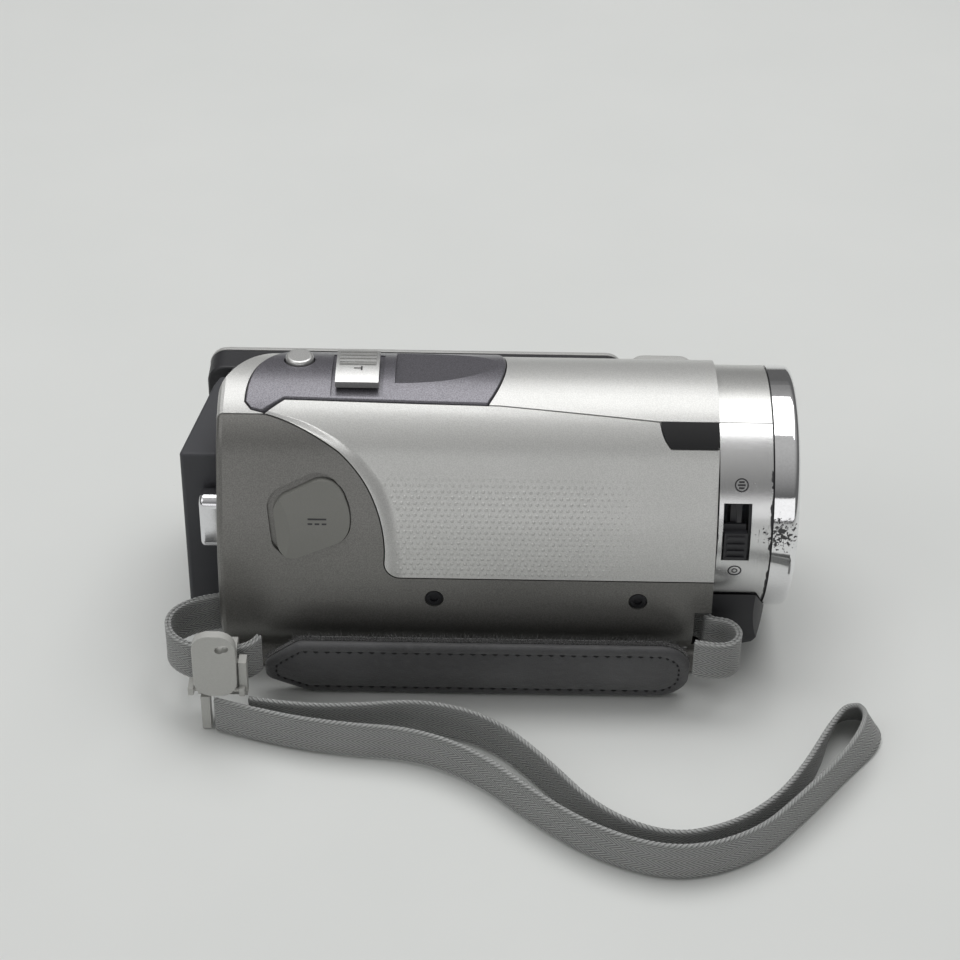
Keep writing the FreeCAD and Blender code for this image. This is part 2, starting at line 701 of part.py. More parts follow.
def make_chin():
    """Lower lip under the lens ring: the body's section narrowed, raked back to the base."""
    curve = ((-20.2, 19.4), (-20.5, 13.5), (-18.4, 6.6), (-13.0, 1.5), (-6.0, 0.5))
    corners = ((-6.0, 0.5), (12.5, 0.5), (15.5, 3.5), (15.5, 19.4), (-20.2, 19.4))
    side = spline([V(43.3, y, z) for y, z in curve])
    rest = polyline([V(43.3, y, z) for y, z in corners])
    blank = Part.Face(Part.Wire([side.toShape()] + rest)).extrude(V(14.0, 0, 0))
    front = xz([(46.0, -5), (47.6, 0.5), (51.8, 5.6), (53.6, 12.0), (54.1, 25)])
    rest = xz([(54.1, 25), (REACH, 25), (REACH, -5), (46.0, -5)])
    rake = prism("XZ", arcs(front) + polyline(rest), -40, 40)
    cheek = xy([(49.8, -22.0), (52.7, -18.6), (54.3, -12.0)])
    outside = xy([(54.3, -12.0), (REACH, -12.0), (REACH, -22.0), (49.8, -22.0)])
    round_off = prism("XY", arcs(cheek) + polyline(outside), -1, 40)
    lip = feature("lip", blank.cut(rake).cut(round_off))
    ring = rod("ring_clear", "X", (43.0, 0, d.lens_height), d.ring_radius + 0.3, 20)
    slots = [block("mic_slot", (48.0, 60), (y - 2.5, y + 2.5), (3.2, 3.8)) for y in (-6.0, 6.0)]
    piece("chin", cut("chin", lip, ring, *slots))


# ---------------------------------------------------------------- lens ring and lens
SWITCH_X = (44.4, 48.6)
SWITCH_ANGLES = (-1.0, 13.0)


def make_ring():
    hood_rear, inner = 43.3, d.ring_radius - d.ring_wall
    groove = d.ring_groove - 0.2
    hood = turned("hood_tube", rectangle((hood_rear, groove), (inner, d.ring_radius)))
    crown = sector("hood_crown", (43.0, 53.5), (20.0, 24.0), (65.6, 150.0))
    gap = sector("hood_gap", (43.0, 53.5), (20.0, 24.0), (65.2, 150.4))
    slot = sector("switch_slot", (44.1, 49.2), (20.0, 24.0), (-2.0, 27.0))
    piece("lens_hood_upper", common("lens_hood_upper", hood, crown))
    piece("lens_hood_lower", cut("lens_hood_lower", hood, gap, slot))
    seal = rectangle((groove, d.ring_groove + 0.1), (19.8, d.ring_radius - 0.5))
    piece("ring_seal", turned("ring_seal", seal))
    rim = d.ring_front - 0.6
    rear, outside = d.ring_groove + 0.1, d.ring_radius + 0.1
    chrome = turned("chrome_ring", [
        (rear, 19.6), (rear, outside), (d.ring_front, outside), (d.ring_front, 20.2), (rim, 19.6)])
    piece("chrome_ring", body_fillet(chrome, 1.3, outer_ring_edge))
    piece("front_bezel", turned("front_bezel", [
        (57.3, 18.8), (57.3, 19.5), (50.4, 19.5), (50.4, 21.3), (48.8, 21.3), (48.8, 10.6), (49.8, 10.6)]))


def outer_ring_edge(edge):
    box = edge.BoundBox
    return on_plane("X", d.ring_front)(edge) and box.ZMax - box.ZMin > 2 * float(d.ring_radius)


def make_switch():
    knob = sector("knob", SWITCH_X, (21.2, 23.1), SWITCH_ANGLES)
    rib_x = (SWITCH_X[0] + 0.5, SWITCH_X[1] - 0.5)
    ribs = [sector("rib_%d" % index, rib_x, (22.9, 23.5), (start, start + 1.4))
            for index, start in enumerate((0.0, 3.4, 6.8, 10.2))]
    keeper = sector("keeper", (43.8, 48.4), (20.4, 21.25), (-4.0, 16.0))
    piece("lens_switch", fuse("lens_switch", knob, keeper, *ribs))


def make_blade(name, upper, x):
    """Half-round blade on an arm, made shut and then turned open about its pivot."""
    side = 1 if upper else -1
    half = rod(name + "_half", "X", (x, 0, d.lens_height), d.blade_radius, 0.5)
    keep_z = (d.lens_height + 0.1, d.lens_height + 12)
    if not upper:
        keep_z = (d.lens_height - 12, d.lens_height - 0.1)
    keep = block(name + "_keep", (x - 1, x + 2), (-12, 12), keep_z)
    half = common(name + "_shape", half, keep)
    arm_z = (d.lens_height + 0.1, d.lens_height + 2.6)
    if not upper:
        arm_z = (d.lens_height - 2.6, d.lens_height - 0.1)
    arm = block(name + "_arm", (x, x + 0.5), (8.5, d.blade_arm - 0.5), arm_z)
    boss = rod(name + "_boss", "X", (x, d.blade_arm, d.lens_height), 1.7, 0.5)
    hole = rod(name + "_hole", "X", (x - 1, d.blade_arm, d.lens_height), 0.95, 3)
    blade = cut(name, fuse(name + "_solid", half, arm, boss), hole)
    pivot = V(0, float(d.blade_arm), lens_z)
    blade.Placement = FreeCAD.Placement(V(), FreeCAD.Rotation(V(1, 0, 0), -side * float(d.blade_open)), pivot)
    piece(name, blade)


def make_lens():
    carrier = turned("carrier_ring", rectangle((45.6, 46.6), (10.5, 19.9)))
    pin = rod("carrier_pin", "X", (46.0, d.blade_arm, d.lens_height), 0.9, 2.6)
    piece("blade_carrier", fuse("blade_carrier", carrier, pin))
    make_blade("cover_blade_upper", True, 46.9)
    make_blade("cover_blade_lower", False, 47.7)
    bore = d.barrel_radius - 1.3
    lip = d.glass_radius + 0.1
    piece("lens_barrel", turned("lens_barrel", [
        (d.barrel_rear, bore), (d.barrel_rear, d.barrel_radius), (d.barrel_front, d.barrel_radius),
        (d.barrel_front, lip), (42.8, lip), (42.8, bore)]))
    dome = doc.addObject("Part::Sphere", "glass_dome")
    dome.Radius = 28
    dome.setExpression(".Placement.Base.x", "45.4 - 28")
    dome.setExpression(".Placement.Base.z", d.lens_height.text)
    blank = rod("glass_blank", "X", (42.0, 0, d.lens_height), d.glass_radius, 6)
    piece("front_element", common("front_element", blank, dome))
    for name, rear, length in (("zoom_group", 24.0, 6.0), ("focus_group", 15.0, 3.4)):
        cell = turned(name + "_cell", rectangle((rear, rear + length), (8.0, bore - 0.25)))
        glass = rod(name + "_glass", "X", (rear + 0.8, 0, d.lens_height), 8.0, length - 1.6)
        piece(name, fuse(name, cell, glass))
    chip = block("sensor_chip", (8.7, 9.9), (-4.5, 4.5), (d.lens_height - 4.0, d.lens_height + 4.0))
    board = block("sensor_plate", (7.6, 8.8), (-12.4, 12.4), (d.lens_height - 11.5, d.lens_height + 11.5))
    piece("sensor_board", fuse("sensor_board", board, chip))
    motor = rod("motor_can", "X", (14, 0, 47.2), 4.0, 16)
    shaft = rod("motor_shaft", "X", (5, 0, 47.2), 0.9, 10)
    piece("zoom_motor", fuse("zoom_motor", motor, shaft))


# ---------------------------------------------------------------- inside the body
def make_inside():
    holes = [((-20, 24), 6.0), ((26, 14), 3.0)]
    piece("chassis", plate("chassis", "XZ_Plane", rectangle((-44, 40), (4, 43)), -13.8, 1.0, holes))
    board = block("board_plate", (-42, 36), (-17.3, -16.2), (8, 37))
    places = ((-20, 12), (-2, 22), (14, 11))
    chips = [block("chip", (x, x + 10), (-16.3, -15.0), (z, z + 10)) for x, z in places]
    socket_notch = block("socket_notch", (-35.2, -25.6), (-18.0, -16.0), (29.6, 38.0))
    piece("main_board", cut("main_board", fuse("board_solid", board, *chips), socket_notch))
    shoe = block("shoe", (-35.2, -6.8), (5.4, 11.4), (2.4, 31))
    slot = block("card_slot", (-33.2, -8.8), (7.1, 9.5), (0, 36))
    piece("card_holder", cut("card_holder", shoe, slot))
    outline = [(-33.0, 2.2), (-9.0, 2.2), (-9.0, 31.2), (-12.0, 34.2), (-33.0, 34.2)]
    piece("memory_card", plate("memory_card", "XZ_Plane", outline, -9.35, 2.1))
    can = leaning_rod(3.3, -5.6, 4.0)
    well = leaning_rod(2.7, -4.6, 4.0)
    post = leaning_rod(0.7, -5.4, 3.2)
    piece("dc_jack", feature("dc_jack", can.cut(well).fuse(post)))


def make_screws():
    side = []
    for x in SCREW_X:
        side.append(rod("side_head", "Y", (x, -23.9, SCREW_Z), 1.55, RECESS_FLOOR + 23.9))
        side.append(rod("side_shank", "Y", (x, RECESS_FLOOR - 0.2, SCREW_Z), 0.9, 5.2))
    heads = [fuse("side_screw_%d" % index, side[2 * index], side[2 * index + 1]) for index in range(2)]
    sockets = [rod("driver_well", "Y", (x, -24.9, SCREW_Z), 0.8, 1.5) for x in SCREW_X]
    side_screws = cut("side_screws", compound("side_group", heads), *sockets)
    base = []
    for index, (x, y) in enumerate(BASE_SCREWS):
        head = rod("base_head_%d" % index, "Z", (x, y, 0.3), 1.6, 1.0)
        shank = rod("base_shank_%d" % index, "Z", (x, y, 1.2), 0.9, 5.0)
        base.append(fuse("base_screw_%d" % index, head, shank))
    piece("case_screws", compound("case_screws", [side_screws] + base))


def compound(name, objects):
    result = doc.addObject("Part::Compound", name)
    result.Links = objects
    return result


# ---------------------------------------------------------------- battery and its latch
def make_battery():
    corners = [(d.battery_front, d.battery_right), (d.battery_rear, d.battery_right),
               (d.battery_rear + 4.1, d.battery_left - 3.0), (d.battery_rear + 5.1, d.battery_left),
               (d.battery_front, d.battery_left)]
    pack = plate("battery", "XY_Plane", corners, d.battery_low, d.battery_top - d.battery_low)
    clear = float(d.battery_front) - 1
    pack = body_fillet(pack, 0.8, lambda edge: along("Z")(edge) and edge.BoundBox.XMax < clear)
    pack = body_fillet(pack, 0.6, rear_rim)
    piece("battery", pack)
    pad = block("latch_pad", LATCH_X, LATCH_Y, (0.2, 1.8))
    groove_x = (LATCH_X[0] - 1, LATCH_X[1] + 1)
    ribs = [block("latch_groove", groove_x, (y, y + 0.5), (0, 0.5)) for y in (-3.4, -2.0, -0.6, 0.8)]
    flange = block("latch_flange", LATCH_X, (LATCH_Y[0] - 1.5, LATCH_Y[1] + 1.0), (1.75, 2.7))
    piece("battery_latch", cut("battery_latch", fuse("latch_solid", pad, flange), *ribs))


def rear_rim(edge):
    top = on_plane("Z", d.battery_top)(edge) or on_plane("Z", d.battery_low)(edge)
    return top and edge.BoundBox.XMax < float(d.battery_front) - 0.5


# ---------------------------------------------------------------- screen
def make_screen():
    x = (d.screen_rear, d.screen_front)
    z = (d.screen_low, d.screen_top)
    cover = block("screen_block", x, (d.screen_split + 0.1, d.screen_outer), z)
    cover = rounded("screen_round", cover, d.screen_corner, along("Y"))
    cover = rounded("screen_soft", cover, 1.4, on_plane("Y", d.screen_outer))
    dish_x, dish_z = (x[0] + 2.4, x[1] - 2.4), (z[0] + 2.4, z[1] - 2.4)
    dish = block("screen_dish", dish_x, (d.screen_split - 1.0, 23.9), dish_z)
    piece("lcd_cover", cut("lcd_cover", cover, dish))
    inset_x, inset_z = (x[0] + 0.1, x[1] - 0.1), (z[0] + 0.1, z[1] - 0.1)
    frame = block("frame_block", inset_x, (d.screen_inner, d.screen_split), inset_z)
    frame = rounded("frame_round", frame, d.screen_corner - 0.1, along("Y"))
    frame = rounded("frame_soft", frame, 0.5, on_plane("Y", d.screen_inner))
    room = block("screen_room", (x[0] + 1.4, x[1] - 1.4), (18.3, 24.0), (z[0] + 1.4, z[1] - 1.4))
    room = rounded("screen_room_round", room, 2.1, along("Y"))
    door = block("arm_door", (24, 29.4), (21.1, 23.0), (12.8, 33.2))
    window = block("frame_window", (-44.0, 19.9), (17, 19.5), (8.0, 38.0))
    rear_view = rod("latch_hole", "Y", (-49.6, 16, 23.0), 0.9, 2.2)
    piece("lcd_frame", cut("lcd_frame", frame, room, door, window, rear_view))
    piece("lcd_glass", block("lcd_glass", (-43.9, 19.8), (17.5, 18.2), (8.1, 37.9)))
    piece("lcd_module", block("lcd_module", (-43.0, 18.9), (18.4, 22.6), (9.0, 37.0)))
    barrel = rod("arm_barrel", "Z", (d.hinge_x, d.hinge_y, 12.2), 1.9, 21.6)
    web = block("arm_web", (20.9, d.hinge_x), (21.3, 22.9), (12.9, 33.1))
    bore = rod("arm_bore", "Z", (d.hinge_x, d.hinge_y, 11), d.pin_radius + 0.05, 25)
    piece("hinge_arm", cut("hinge_arm", fuse("arm_solid", barrel, web), bore))


# ---------------------------------------------------------------- controls
def make_controls():
    saddle = sector("saddle", LEVER_X, (25.0, 26.5), (77.0, 98.6))
    hump = sector("hump", (LEVER_X[0] + 0.6, LEVER_X[1] - 0.6), (26.4, 26.8), (87.6, 97.0))
    rib_x = (LEVER_X[0] + 0.6, LEVER_X[1] - 0.6)
    grips = [sector("lever_rib_%d" % index, rib_x, (26.7, 27.0), (start, start + 1.1))
             for index, start in enumerate((88.2, 90.6, 93.0, 95.4))]
    stem = sector("stem", (LEVER_X[0] + 2.0, LEVER_X[1] - 2.0), (21.5, 25.1), (83.0, 93.0))
    piece("zoom_lever", fuse("zoom_lever", saddle, hump, stem, *grips))
    snap = disc("snapshot_button", "XY_Plane", (-33.6, 2.6), 2.6, 50.2, 5.2)
    piece("snapshot_button", body_fillet(snap, 0.6, on_plane("Z", 55.4)))
    record = plate("record_button", "YZ_Plane", rectangle(RECORD_Y, RECORD_Z), -51.3, 6.0)
    record = body_fillet(record, 2.0, along("X"))
    piece("record_button", body_fillet(record, 0.9, on_plane("X", -51.3)))
    skin = section_shell(-40, -20, -0.45, 0.75)
    flap = feature("dc_flap", dc_region(0.0).common(skin))
    facet = leaning_prism([(-34.4, -21.45), (-39.0, -20.35), (-41.0, -24.0), (-34.4, -24.0)])
    piece("dc_cover", cut("dc_cover", flap, feature("dc_facet", facet)))
    door = block("door_leaf", DOOR_X, DOOR_Y, DOOR_Z)
    edge = rod("door_edge", "X", (DOOR_X[0], DOOR_Y[1], 0.8), 0.6, DOOR_X[1] - DOOR_X[0])
    nail = block("door_nail", (-24, -18), (DOOR_Y[0] - 0.5, DOOR_Y[0] + 0.8), (0, 0.7))
    piece("card_door", cut("card_door", fuse("door_solid", door, edge), nail))


# ---------------------------------------------------------------- straps
def arc_route(points):
    """Straight runs joined by tangent arcs, each arc as large as its two runs allow."""
    route, radii = [], []
    start = points[0]
    for before, corner, after in zip(points[:-2], points[1:-1], points[2:]):
        arrive = (corner - before).normalize()
        leave = (after - corner).normalize()
        turn = arrive.getAngle(leave)
        shorter = min((corner - before).Length, (after - corner).Length)
        trim = 0.45 * shorter
        radius = trim / math.tan(turn / 2)
        side = 1 if arrive.cross(leave).z > 0 else -1
        first, last = corner - arrive * trim, corner + leave * trim
        route.append(("run", start, first))
        route.append(("arc", first, last, corner, radius, side))
        radii.append(radius)
        start = last
    route.append(("run", start, points[-1]))
    return route, radii


def left_of(direction):
    return V(-direction.y, direction.x, 0)


def band_edges(route, shift):
    """One long side of a band: the route moved sideways by shift."""
    edges = []
    for item in route:
        if item[0] == "run":
            way = left_of((item[2] - item[1]).normalize()) * shift
            edges.append(Part.LineSegment(item[1] + way, item[2] + way).toShape())
            continue
        _, first, last, corner, radius, side = item
        inward = left_of((corner - first).normalize()) * side
        centre = first + inward * radius
        reach = radius - side * shift
        middle = centre + (corner - centre).normalize() * reach
        ends = [centre + (point - centre).normalize() * reach for point in (first, last)]
        edges.append(Part.Arc(ends[0], middle, ends[1]).toShape())
    return edges


def route_length(route):
    total = 0.0
    for item in route:
        if item[0] == "run":
            total += (item[2] - item[1]).Length
        else:
            _, first, last, corner, radius, side = item
            total += 2 * radius * math.asin(min(1.0, (last - first).Length / 2 / radius))
    return total


def band(name, points, thick, z):
    """Webbing that stands on edge: a flat route given a thickness and a height."""
    route, radii = arc_route(xy(points))
    near = band_edges(route, thick / 2)
    far = band_edges(route, -thick / 2)
    starts = [side[0].valueAt(side[0].FirstParameter) for side in (near, far)]
    stops = [side[-1].valueAt(side[-1].LastParameter) for side in (near, far)]
    caps = [Part.LineSegment(*starts), Part.LineSegment(*stops)]
    wire = Part.Wire(Part.__sortEdges__(near + far + [cap.toShape() for cap in caps]))
    wire.translate(V(0, 0, z[0]))
    solid = Part.Face(wire).extrude(V(0, 0, z[1] - z[0]))
    expected = route_length(route) * thick * (z[1] - z[0])
    print("%s: length %.1f, radii %s, volume %.1f of %.1f" % (
        name, route_length(route), [round(radius, 1) for radius in radii], solid.Volume, expected))
    return piece(name, feature(name, solid))


FRONT_WEB = ((40.3, -19.5), (42.4, -20.0), (42.4, -24.2), (46.9, -24.6), (48.6, -29.0), (45.0, -32.6),
             (39.7, -31.0))
REAR_WEB = ((-46.9, -19.3), (-52.0, -20.2), (-57.2, -24.6), (-56.6, -31.0), (-51.0, -34.8), (-41.5, -34.8),
            (-39.9, -31.2))
# The wrist strap leaves the buckle, runs out along the table, turns in a narrow eye and comes back
# beside itself.
WRIST_ROUTE = ((-47.6, -39.2), (-37.0, -42.9), (-24.5, -45.4), (-11.0, -46.4), (0.5, -52.2), (10.4, -62.4),
               (21.6, -71.4), (35.0, -76.0), (48.4, -71.2), (57.6, -61.0), (64.8, -52.0), (70.8, -43.6),
               (74.6, -36.4), (72.4, -31.6), (67.6, -33.4), (64.2, -42.0), (59.2, -52.8), (52.6, -62.6),
               (43.8, -69.6), (33.0, -72.4), (21.2, -66.0), (12.4, -53.6), (2.6, -42.6), (-10.0, -38.6),
               (-22.4, -40.3), (-33.0, -40.4), (-41.4, -38.8))
WRIST_Z = (0.2, 8.4)
PAD_TILT = 15.0
PAD_FOOT = V(0, -26.9, 0.95)


def make_straps():
    thick = float(d.web_thick)
    rise = (STRAP_Z[0], STRAP_Z[0] + float(d.web_width))
    band("front_strap", FRONT_WEB, thick, rise)
    band("rear_strap", REAR_WEB, thick, rise)
    band("wrist_strap", WRIST_ROUTE, float(d.cord_thick), WRIST_Z)
    bars = [rod("strap_bar", "Z", (x, y, foot), BAR_RADIUS, BAR_TOP - foot) for x, y, foot in STRAP_BARS]
    piece("strap_bars", compound("strap_bars", bars))
    half = d.pad_length * 0.5
    outline = [(-half, 4.4), (-half + 8.0, 0), (half, 0), (half, d.pad_height),
               (-half + 6.5, d.pad_height), (-half, 8.8)]
    turn = FreeCAD.Rotation(V(1, 0, 0), PAD_TILT)
    layers = (("hand_pad", 0, d.pad_thick), ("pad_lining", -d.lining_thick, d.lining_thick))
    for name, start, thickness in layers:
        layer = plate(name, "XZ_Plane", outline, start, thickness)
        layer = body_fillet(layer, d.pad_corner, lambda edge: along("Y")(edge) and edge.BoundBox.XMin > 0)
        layer = body_fillet(layer, 2.0, lambda edge: along("Y")(edge) and edge.BoundBox.XMin < -20)
        layer.Placement = FreeCAD.Placement(PAD_FOOT, turn)
        piece(name, layer)


BUCKLE_X = (-50.8, -43.4)
LEVER_PIN_X = (-52.1, -42.1)
LEVER_PIVOT = (-38.75, 9.8)
LEVER_PIN_RADIUS = 0.4


def make_buckle():
    """Slider round the rear webbing, with a flip lever on its outer face and a foot for the wrist strap."""
    sleeve = block("sleeve", BUCKLE_X, (-37.4, -32.4), (6.6, 17.8))
    sleeve = rounded("sleeve_soft", sleeve, 1.6, along("X"))
    passage = block("passage", (-60, -30), (-36.2, -33.3), (7.9, 16.9))
    post = block("post", (-43.0, -41.6), (-38.6, -35.8), (8.4, 16.0))
    link = block("post_link", (BUCKLE_X[1] - 0.1, -42.9), (-37.3, -35.8), (8.9, 15.0))
    foot = block("foot", (-50.2, -48.6), (-38.8, -36.4), (0.4, 8.0))
    cheeks = [block("cheek", (x, x + 1.0), (-39.6, -37.3), (9.0, 10.6)) for x in (-52.3, -43.0)]
    bridge = block("cheek_bridge", (-52.3, -50.1), (-37.5, -36.4), (9.0, 10.6))
    pin_hole = rod("pin_hole", "X", (-53, *LEVER_PIVOT), LEVER_PIN_RADIUS + 0.05, 12)
    solid = fuse("frame_solid", sleeve, post, link, foot, bridge, *cheeks)
    frame = cut("buckle_frame", solid, passage, pin_hole)
    piece("buckle_frame", frame)
    lever = plate("lever_leaf", "XZ_Plane", rectangle((-51.2, -43.3), (8.9, 22.8)), 37.95, 1.7)
    lever = body_fillet(lever, 3.2, along("Y"))
    lever = body_fillet(lever, 0.15, on_plane("Y", -39.65))
    pin_length = LEVER_PIN_X[1] - LEVER_PIN_X[0]
    pin = rod("lever_pin", "X", (LEVER_PIN_X[0], *LEVER_PIVOT), LEVER_PIN_RADIUS, pin_length)
    eye = fuse("eye", *[rod("eye_end", "Y", (x, -41, z), 0.8, 5) for x, z in ((-45.3, 20.0), (-46.2, 19.7))])
    piece("buckle_lever", cut("buckle_lever", fuse("lever_solid", lever, pin), eye))


# ---------------------------------------------------------------- build
make_top_cover()
make_control_panel()
make_side_covers()
make_accent()
make_base()
make_bay()
make_ends()
make_hinge_cover()
make_chin()
make_ring()
make_switch()
make_lens()
make_inside()
make_screws()
make_battery()
make_screen()
make_controls()
make_straps()
make_buckle()

doc.recompute()
for obj in doc.Objects:
    if "Invalid" in obj.State or "Error" in obj.State:
        raise SystemExit("failed object: %s %s" % (obj.Label, obj.State))
for obj in PIECES:
    if obj.Shape.isNull() or not obj.Shape.isValid() or not obj.Shape.Solids:
        raise SystemExit("bad shape: %s" % obj.Label)
    print("%-18s solids %d volume %9.1f" % (obj.Label, len(obj.Shape.Solids), obj.Shape.Volume))
    obj.Shape.exportStep("parts/%s.step" % obj.Label)
print("pieces", len(PIECES))
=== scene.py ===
import math
import random

import bmesh
import bpy
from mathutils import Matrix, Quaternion, Vector
from mathutils.bvhtree import BVHTree


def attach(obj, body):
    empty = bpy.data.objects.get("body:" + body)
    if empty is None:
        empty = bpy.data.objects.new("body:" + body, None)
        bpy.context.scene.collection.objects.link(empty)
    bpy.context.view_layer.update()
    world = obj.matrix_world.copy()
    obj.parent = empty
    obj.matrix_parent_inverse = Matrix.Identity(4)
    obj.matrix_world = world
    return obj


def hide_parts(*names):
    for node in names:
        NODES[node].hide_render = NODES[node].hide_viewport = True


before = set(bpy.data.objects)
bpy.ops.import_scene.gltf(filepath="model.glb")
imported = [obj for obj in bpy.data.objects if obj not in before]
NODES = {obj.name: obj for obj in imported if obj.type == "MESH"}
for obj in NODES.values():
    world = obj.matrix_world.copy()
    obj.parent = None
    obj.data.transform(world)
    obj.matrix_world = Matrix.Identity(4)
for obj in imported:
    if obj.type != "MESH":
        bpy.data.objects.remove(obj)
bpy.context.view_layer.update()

MM = 0.001
LENS_HEIGHT = 29.5
WEB_WIDTH = 8.2


def millimetres(points):
    return [Vector((x, y, z)) * MM for x, y, z in points]


# ---------------------------------------------------------------- camera and light
def make_camera():
    elevation, distance = math.radians(36.0), 0.446
    data = bpy.data.cameras.new("camera")
    data.sensor_width = 36.0
    data.lens = 88.1
    data.clip_start = 0.01
    camera = bpy.data.objects.new("camera", data)
    bpy.context.scene.collection.objects.link(camera)
    back = Vector((0.0, -math.cos(elevation), math.sin(elevation)))
    camera.location = Vector((0.0, 0.0, LENS_HEIGHT * MM)) + back * distance
    camera.rotation_mode = "QUATERNION"
    roll = Quaternion((0.0, 0.0, 1.0), math.radians(0.9))
    camera.rotation_quaternion = (-back).to_track_quat("-Z", "Y") @ roll
    bpy.context.scene.camera = camera


def area_light(name, place, target, size, power):
    data = bpy.data.lights.new(name, "AREA")
    data.shape = "RECTANGLE"
    data.size, data.size_y = size
    data.energy = power
    light = bpy.data.objects.new(name, data)
    bpy.context.scene.collection.objects.link(light)
    light.location = place
    light.rotation_mode = "QUATERNION"
    light.rotation_quaternion = (Vector(target) - Vector(place)).to_track_quat("-Z", "Y")


def make_light():
    scene = bpy.context.scene
    scene.view_settings.view_transform = "Standard"
    world = bpy.data.worlds.new("studio")
    scene.world = world
    world.use_nodes = True
    tree = world.node_tree
    background = next(node for node in tree.nodes if node.type == "BACKGROUND")
    coordinates = tree.nodes.new("ShaderNodeTexCoord")
    split = tree.nodes.new("ShaderNodeSeparateXYZ")
    ramp = tree.nodes.new("ShaderNodeValToRGB")
    ramp.color_ramp.elements[0].position = 0.42
    ramp.color_ramp.elements[0].color = (0.24, 0.24, 0.24, 1.0)
    ramp.color_ramp.elements[1].color = (0.95, 0.95, 0.94, 1.0)
    ramp.color_ramp.elements[1].position = 0.95
    tree.links.new(coordinates.outputs["Generated"], split.inputs[0])
    tree.links.new(split.outputs["Z"], ramp.inputs[0])
    tree.links.new(ramp.outputs[0], background.inputs[0])
    background.inputs[1].default_value = 0.52
    area_light("softbox", (0.05, 0.22, 0.76), (0.0, 0.0, 0.03), (0.8, 0.6), 3.8)
    area_light("front_wall", (0.0, -1.3, 0.32), (0.0, 0.0, 0.04), (1.8, 0.5), 2.6)
    area_light("fill", (-0.5, -0.30, 0.55), (0.0, 0.0, 0.03), (0.5, 0.5), 0.7)


# ---------------------------------------------------------------- shader nodes
class Shader:
    """A material whose nodes work in millimetres in the row frame."""

    def __init__(self, name):
        self.material = bpy.data.materials.new(name)
        self.material.use_nodes = True
        self.tree = self.material.node_tree
        self.surface = next(node for node in self.tree.nodes if node.type == "BSDF_PRINCIPLED")
        place = self.node("ShaderNodeTexCoord").outputs["Object"]
        self.place = self.vector("SCALE", place, 1000.0)
        self.height = None

    def node(self, kind):
        return self.tree.nodes.new(kind)

    def put(self, socket, value):
        if isinstance(value, bpy.types.NodeSocket):
            self.tree.links.new(value, socket)
        elif isinstance(value, (tuple, list)) and len(value) == 3 and socket.type == "RGBA":
            socket.default_value = (*value, 1.0)
        else:
            socket.default_value = value

    def vector(self, operation, value, other):
        node = self.node("ShaderNodeVectorMath")
        node.operation = operation
        self.put(node.inputs[0], value)
        self.put(node.inputs["Scale" if operation == "SCALE" else 1], other)
        return node.outputs[1 if operation == "DISTANCE" else 0]

    def sum(self, operation, value, other=0.0, clamp=False):
        node = self.node("ShaderNodeMath")
        node.operation = operation
        node.use_clamp = clamp
        self.put(node.inputs[0], value)
        self.put(node.inputs[1], other)
        return node.outputs[0]

    def axes(self, vector=None):
        node = self.node("ShaderNodeSeparateXYZ")
        self.put(node.inputs[0], vector or self.place)
        return node.outputs[0], node.outputs[1], node.outputs[2]

    def step(self, value, low, high):
        """0 at low, 1 at high, smooth between."""
        node = self.node("ShaderNodeMapRange")
        node.interpolation_type = "SMOOTHSTEP"
        self.put(node.inputs["Value"], value)
        self.put(node.inputs["From Min"], low)
        self.put(node.inputs["From Max"], high)
        return node.outputs[0]

    def noise(self, scale, detail=2.0, vector=None, stretch=None):
        source = vector or self.place
        if stretch:
            source = self.vector("MULTIPLY", source, stretch)
        node = self.node("ShaderNodeTexNoise")
        self.put(node.inputs["Vector"], source)
        self.put(node.inputs["Scale"], scale)
        self.put(node.inputs["Detail"], detail)
        return node.outputs[0]

    def cells(self, scale):
        node = self.node("ShaderNodeTexVoronoi")
        self.put(node.inputs["Vector"], self.place)
        self.put(node.inputs["Scale"], scale)
        return node.outputs["Distance"]

    def blend(self, amount, first, second):
        node = self.node("ShaderNodeMix")
        node.data_type = "RGBA"
        self.put(node.inputs[0], amount)
        self.put(node.inputs[6], first)
        self.put(node.inputs[7], second)
        return node.outputs[2]

    def set(self, **values):
        names = {name.replace(" ", "_").lower(): name for name in self.surface.inputs.keys()}
        for key, value in values.items():
            self.put(self.surface.inputs[names[key]], value)

    def range(self, amount, low, high):
        node = self.node("ShaderNodeMapRange")
        self.put(node.inputs["Value"], amount)
        self.put(node.inputs["To Min"], low)
        self.put(node.inputs["To Max"], high)
        return node.outputs[0]

    def bump(self, height, depth, strength=1.0):
        """Relief whose full height is depth millimetres; calls stack."""
        node = self.node("ShaderNodeBump")
        self.put(node.inputs["Height"], height)
        self.put(node.inputs["Distance"], depth * MM)
        self.put(node.inputs["Strength"], strength)
        if self.height is not None:
            self.put(node.inputs["Normal"], self.height)
        self.height = node.outputs[0]
        self.put(self.surface.inputs["Normal"], self.height)


def scaled(colour, factor):
    return tuple(min(1.0, channel * factor) for channel in colour)


def metallic_paint(name, colour, roughness=0.38, metallic=0.42, flake=0.08, coat=0.22):
    shader = Shader(name)
    sparkle = shader.noise(5.0, 1.0)
    glint = shader.step(sparkle, 0.35, 0.65)
    tone = shader.blend(glint, scaled(colour, 1 - flake), scaled(colour, 1 + flake))
    handled = shader.noise(0.05, 3.0)
    shader.set(base_color=shader.blend(shader.range(handled, 0.0, 0.18), tone, scaled(colour, 0.82)))
    shader.set(metallic=metallic, roughness=shader.range(handled, roughness - 0.05, roughness + 0.06))
    shader.set(coat_weight=coat, coat_roughness=0.22)
    shader.bump(sparkle, 0.03, 0.5)
    return shader


